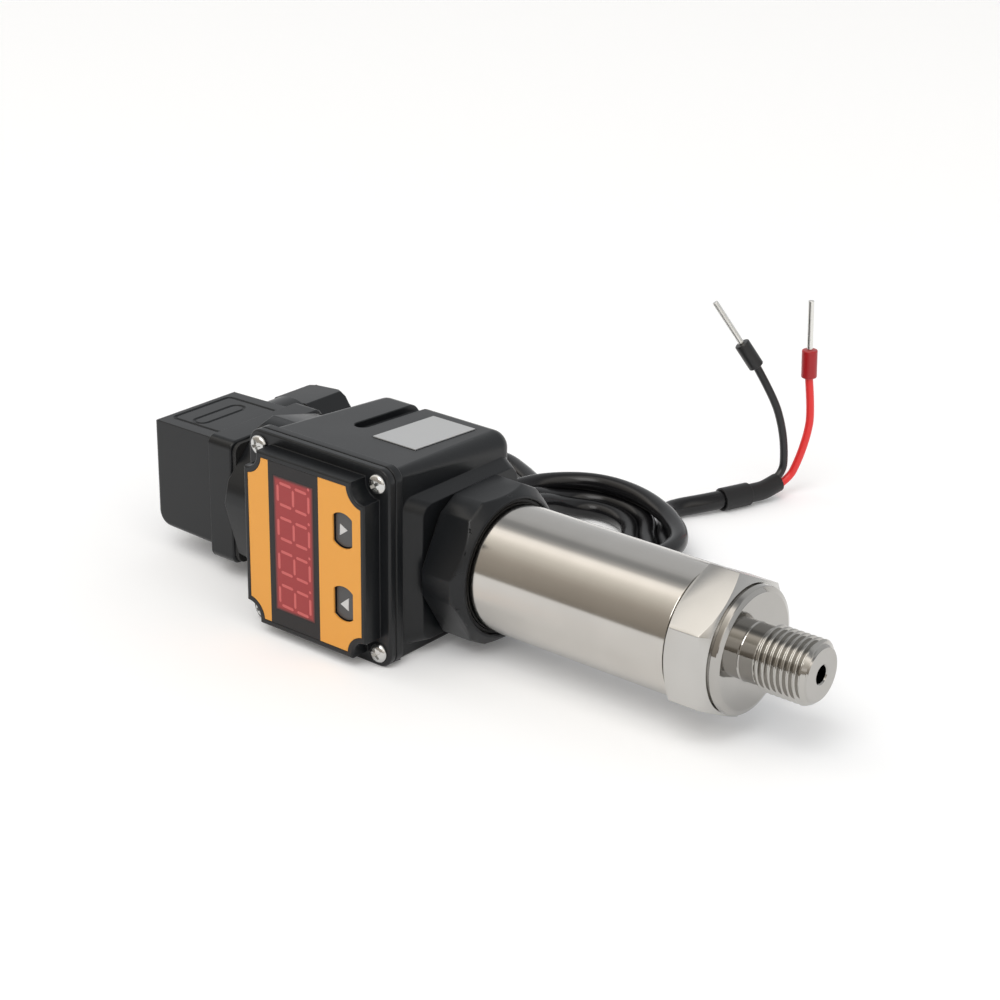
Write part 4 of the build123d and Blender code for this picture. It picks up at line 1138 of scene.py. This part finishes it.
@dataclass
class Studio:
    """The camera at the photograph's view, the floor, the world and the lamps."""

    camera_place: Point = (205.44, -331.46, 191.49)
    azimuth: float = 38.914
    elevation: float = 22.636
    roll: float = 0.8635
    focal_share: float = 2.28912
    sensor: float = 36.0
    floor: float = -18.2
    floor_half: float = 6000.0
    floor_colour: Colour = (0.925, 0.94, 0.965)
    floor_white: float = 0.09

    def build(self) -> None:
        """Sets up the camera, the floor, the world and the lamps."""
        self._camera()
        self._floor()
        self._world()
        self._lamps()
        bpy.context.scene.view_settings.view_transform = "Standard"

    def _camera(self) -> None:
        """Places the camera from its azimuth, elevation and roll."""
        around = math.radians(self.azimuth)
        above = math.radians(self.elevation)
        lean = math.radians(self.roll)
        back = Vector(
            (math.sin(around) * math.cos(above), -math.cos(around) * math.cos(above), math.sin(above))
        )
        right = Vector((math.cos(around), math.sin(around), 0.0))
        up = back.cross(right)
        right_rolled = right * math.cos(lean) + up * math.sin(lean)
        up_rolled = up * math.cos(lean) - right * math.sin(lean)
        data = bpy.data.cameras.new("camera")
        data.sensor_width = self.sensor
        data.lens = self.sensor * self.focal_share
        data.clip_start = 0.01
        camera = bpy.data.objects.new("camera", data)
        rotation = Matrix((right_rolled, up_rolled, back)).transposed().to_4x4()
        camera.matrix_world = Matrix.Translation(Vector(self.camera_place) * MM) @ rotation
        bpy.context.scene.collection.objects.link(camera)
        bpy.context.scene.camera = camera

    def _floor(self) -> None:
        """Lays the pale floor, which shows white away from the object's shadow."""
        half, height = self.floor_half, self.floor
        floor = from_faces(
            "floor",
            [(-half, -half, height), (half, -half, height), (half, half, height), (-half, half, height)],
            [(0, 1, 2, 3)],
        )
        material = bpy.data.materials.new("floor")
        material.use_nodes = True
        shader = material.node_tree.nodes["Principled BSDF"]
        shader.inputs["Base Color"].default_value = (*self.floor_colour, 1.0)
        shader.inputs["Roughness"].default_value = 0.9
        shader.inputs["Specular IOR Level"].default_value = 0.1
        shader.inputs["Emission Color"].default_value = (1.0, 1.0, 1.0, 1.0)
        graph = Graph(material.node_tree)
        rays = graph.add("ShaderNodeLightPath")
        seen = graph.maths("MAXIMUM", rays.outputs["Is Camera Ray"], rays.outputs["Is Glossy Ray"])
        seen = graph.maths("MAXIMUM", seen, rays.outputs["Is Transmission Ray"])
        graph.join(graph.maths("MULTIPLY", seen, self.floor_white), shader.inputs["Emission Strength"])
        floor.data.materials.append(material)

    def _world(self) -> None:
        """Lights the room with a soft vault that is darker overhead."""
        world = bpy.data.worlds.new("studio")
        world.use_nodes = True
        bpy.context.scene.world = world
        graph = Graph(world.node_tree)
        background = world.node_tree.nodes["Background"]
        place = graph.add("ShaderNodeTexCoord")
        split = graph.add("ShaderNodeSeparateXYZ")
        graph.join(place.outputs["Generated"], split.inputs["Vector"])
        turned = graph.maths("MULTIPLY", split.outputs["Y"], -1.0)
        swing = graph.maths("ARCTAN2", split.outputs["Z"], turned)
        share = graph.maths("DIVIDE", swing, math.pi)
        vault = graph.add("ShaderNodeValToRGB")
        stops = (
            (0.0, (0.32, 0.29, 0.25)),
            (0.065, (0.40, 0.36, 0.31)),
            (0.155, (0.48, 0.435, 0.38)),
            (0.20, (0.54, 0.49, 0.43)),
            (0.243, (0.66, 0.61, 0.54)),
            (0.332, (0.99, 0.94, 0.85)),
            (0.377, (1.26, 1.20, 1.10)),
            (0.42, (1.62, 1.54, 1.44)),
            (0.47, (1.60, 1.54, 1.46)),
            (0.51, (0.67, 0.66, 0.64)),
            (0.555, (0.37, 0.375, 0.38)),
            (0.60, (0.37, 0.375, 0.38)),
            (0.645, (0.58, 0.585, 0.59)),
            (0.70, (0.65, 0.66, 0.67)),
            (0.90, (0.67, 0.68, 0.69)),
            (1.0, (0.76, 0.77, 0.78)),
        )
        while len(vault.color_ramp.elements) < len(stops):
            vault.color_ramp.elements.new(0.5)
        for element, (position, colour) in zip(vault.color_ramp.elements, stops):
            element.position = position
            element.color = (*colour, 1.0)
        graph.join(share, vault.inputs["Fac"])
        graph.join(vault.outputs["Color"], background.inputs["Color"])

    def _lamps(self) -> None:
        """Hangs a large soft lamp high in front and a weak fill on the right."""
        for name, place, size, power in (
            ("key", (300.0, -1560.0, 2100.0), 1560.0, 24.0),
            ("fill", (620.0, -560.0, 420.0), 620.0, 0.6),
        ):
            data = bpy.data.lights.new(name, "AREA")
            data.size = size * MM
            data.energy = power
            lamp = bpy.data.objects.new(name, data)
            lamp.location = Vector(place) * MM
            aim = Vector((-60.0, 0.0, 0.0)) * MM - lamp.location
            lamp.rotation_euler = aim.to_track_quat("-Z", "Y").to_euler()
            bpy.context.scene.collection.objects.link(lamp)


def main() -> None:
    """Loads the frame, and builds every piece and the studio."""
    logging.basicConfig(level=logging.INFO, format="%(name)s %(message)s")
    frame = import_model()
    ProcessFitting().build()
    SensorTube().build()
    DisplayHead().build(frame)
    CablePlug().build(frame)
    Interior().build(frame)
    Cable().build(frame)
    Studio().build()


if __name__ == "__main__":
    main()
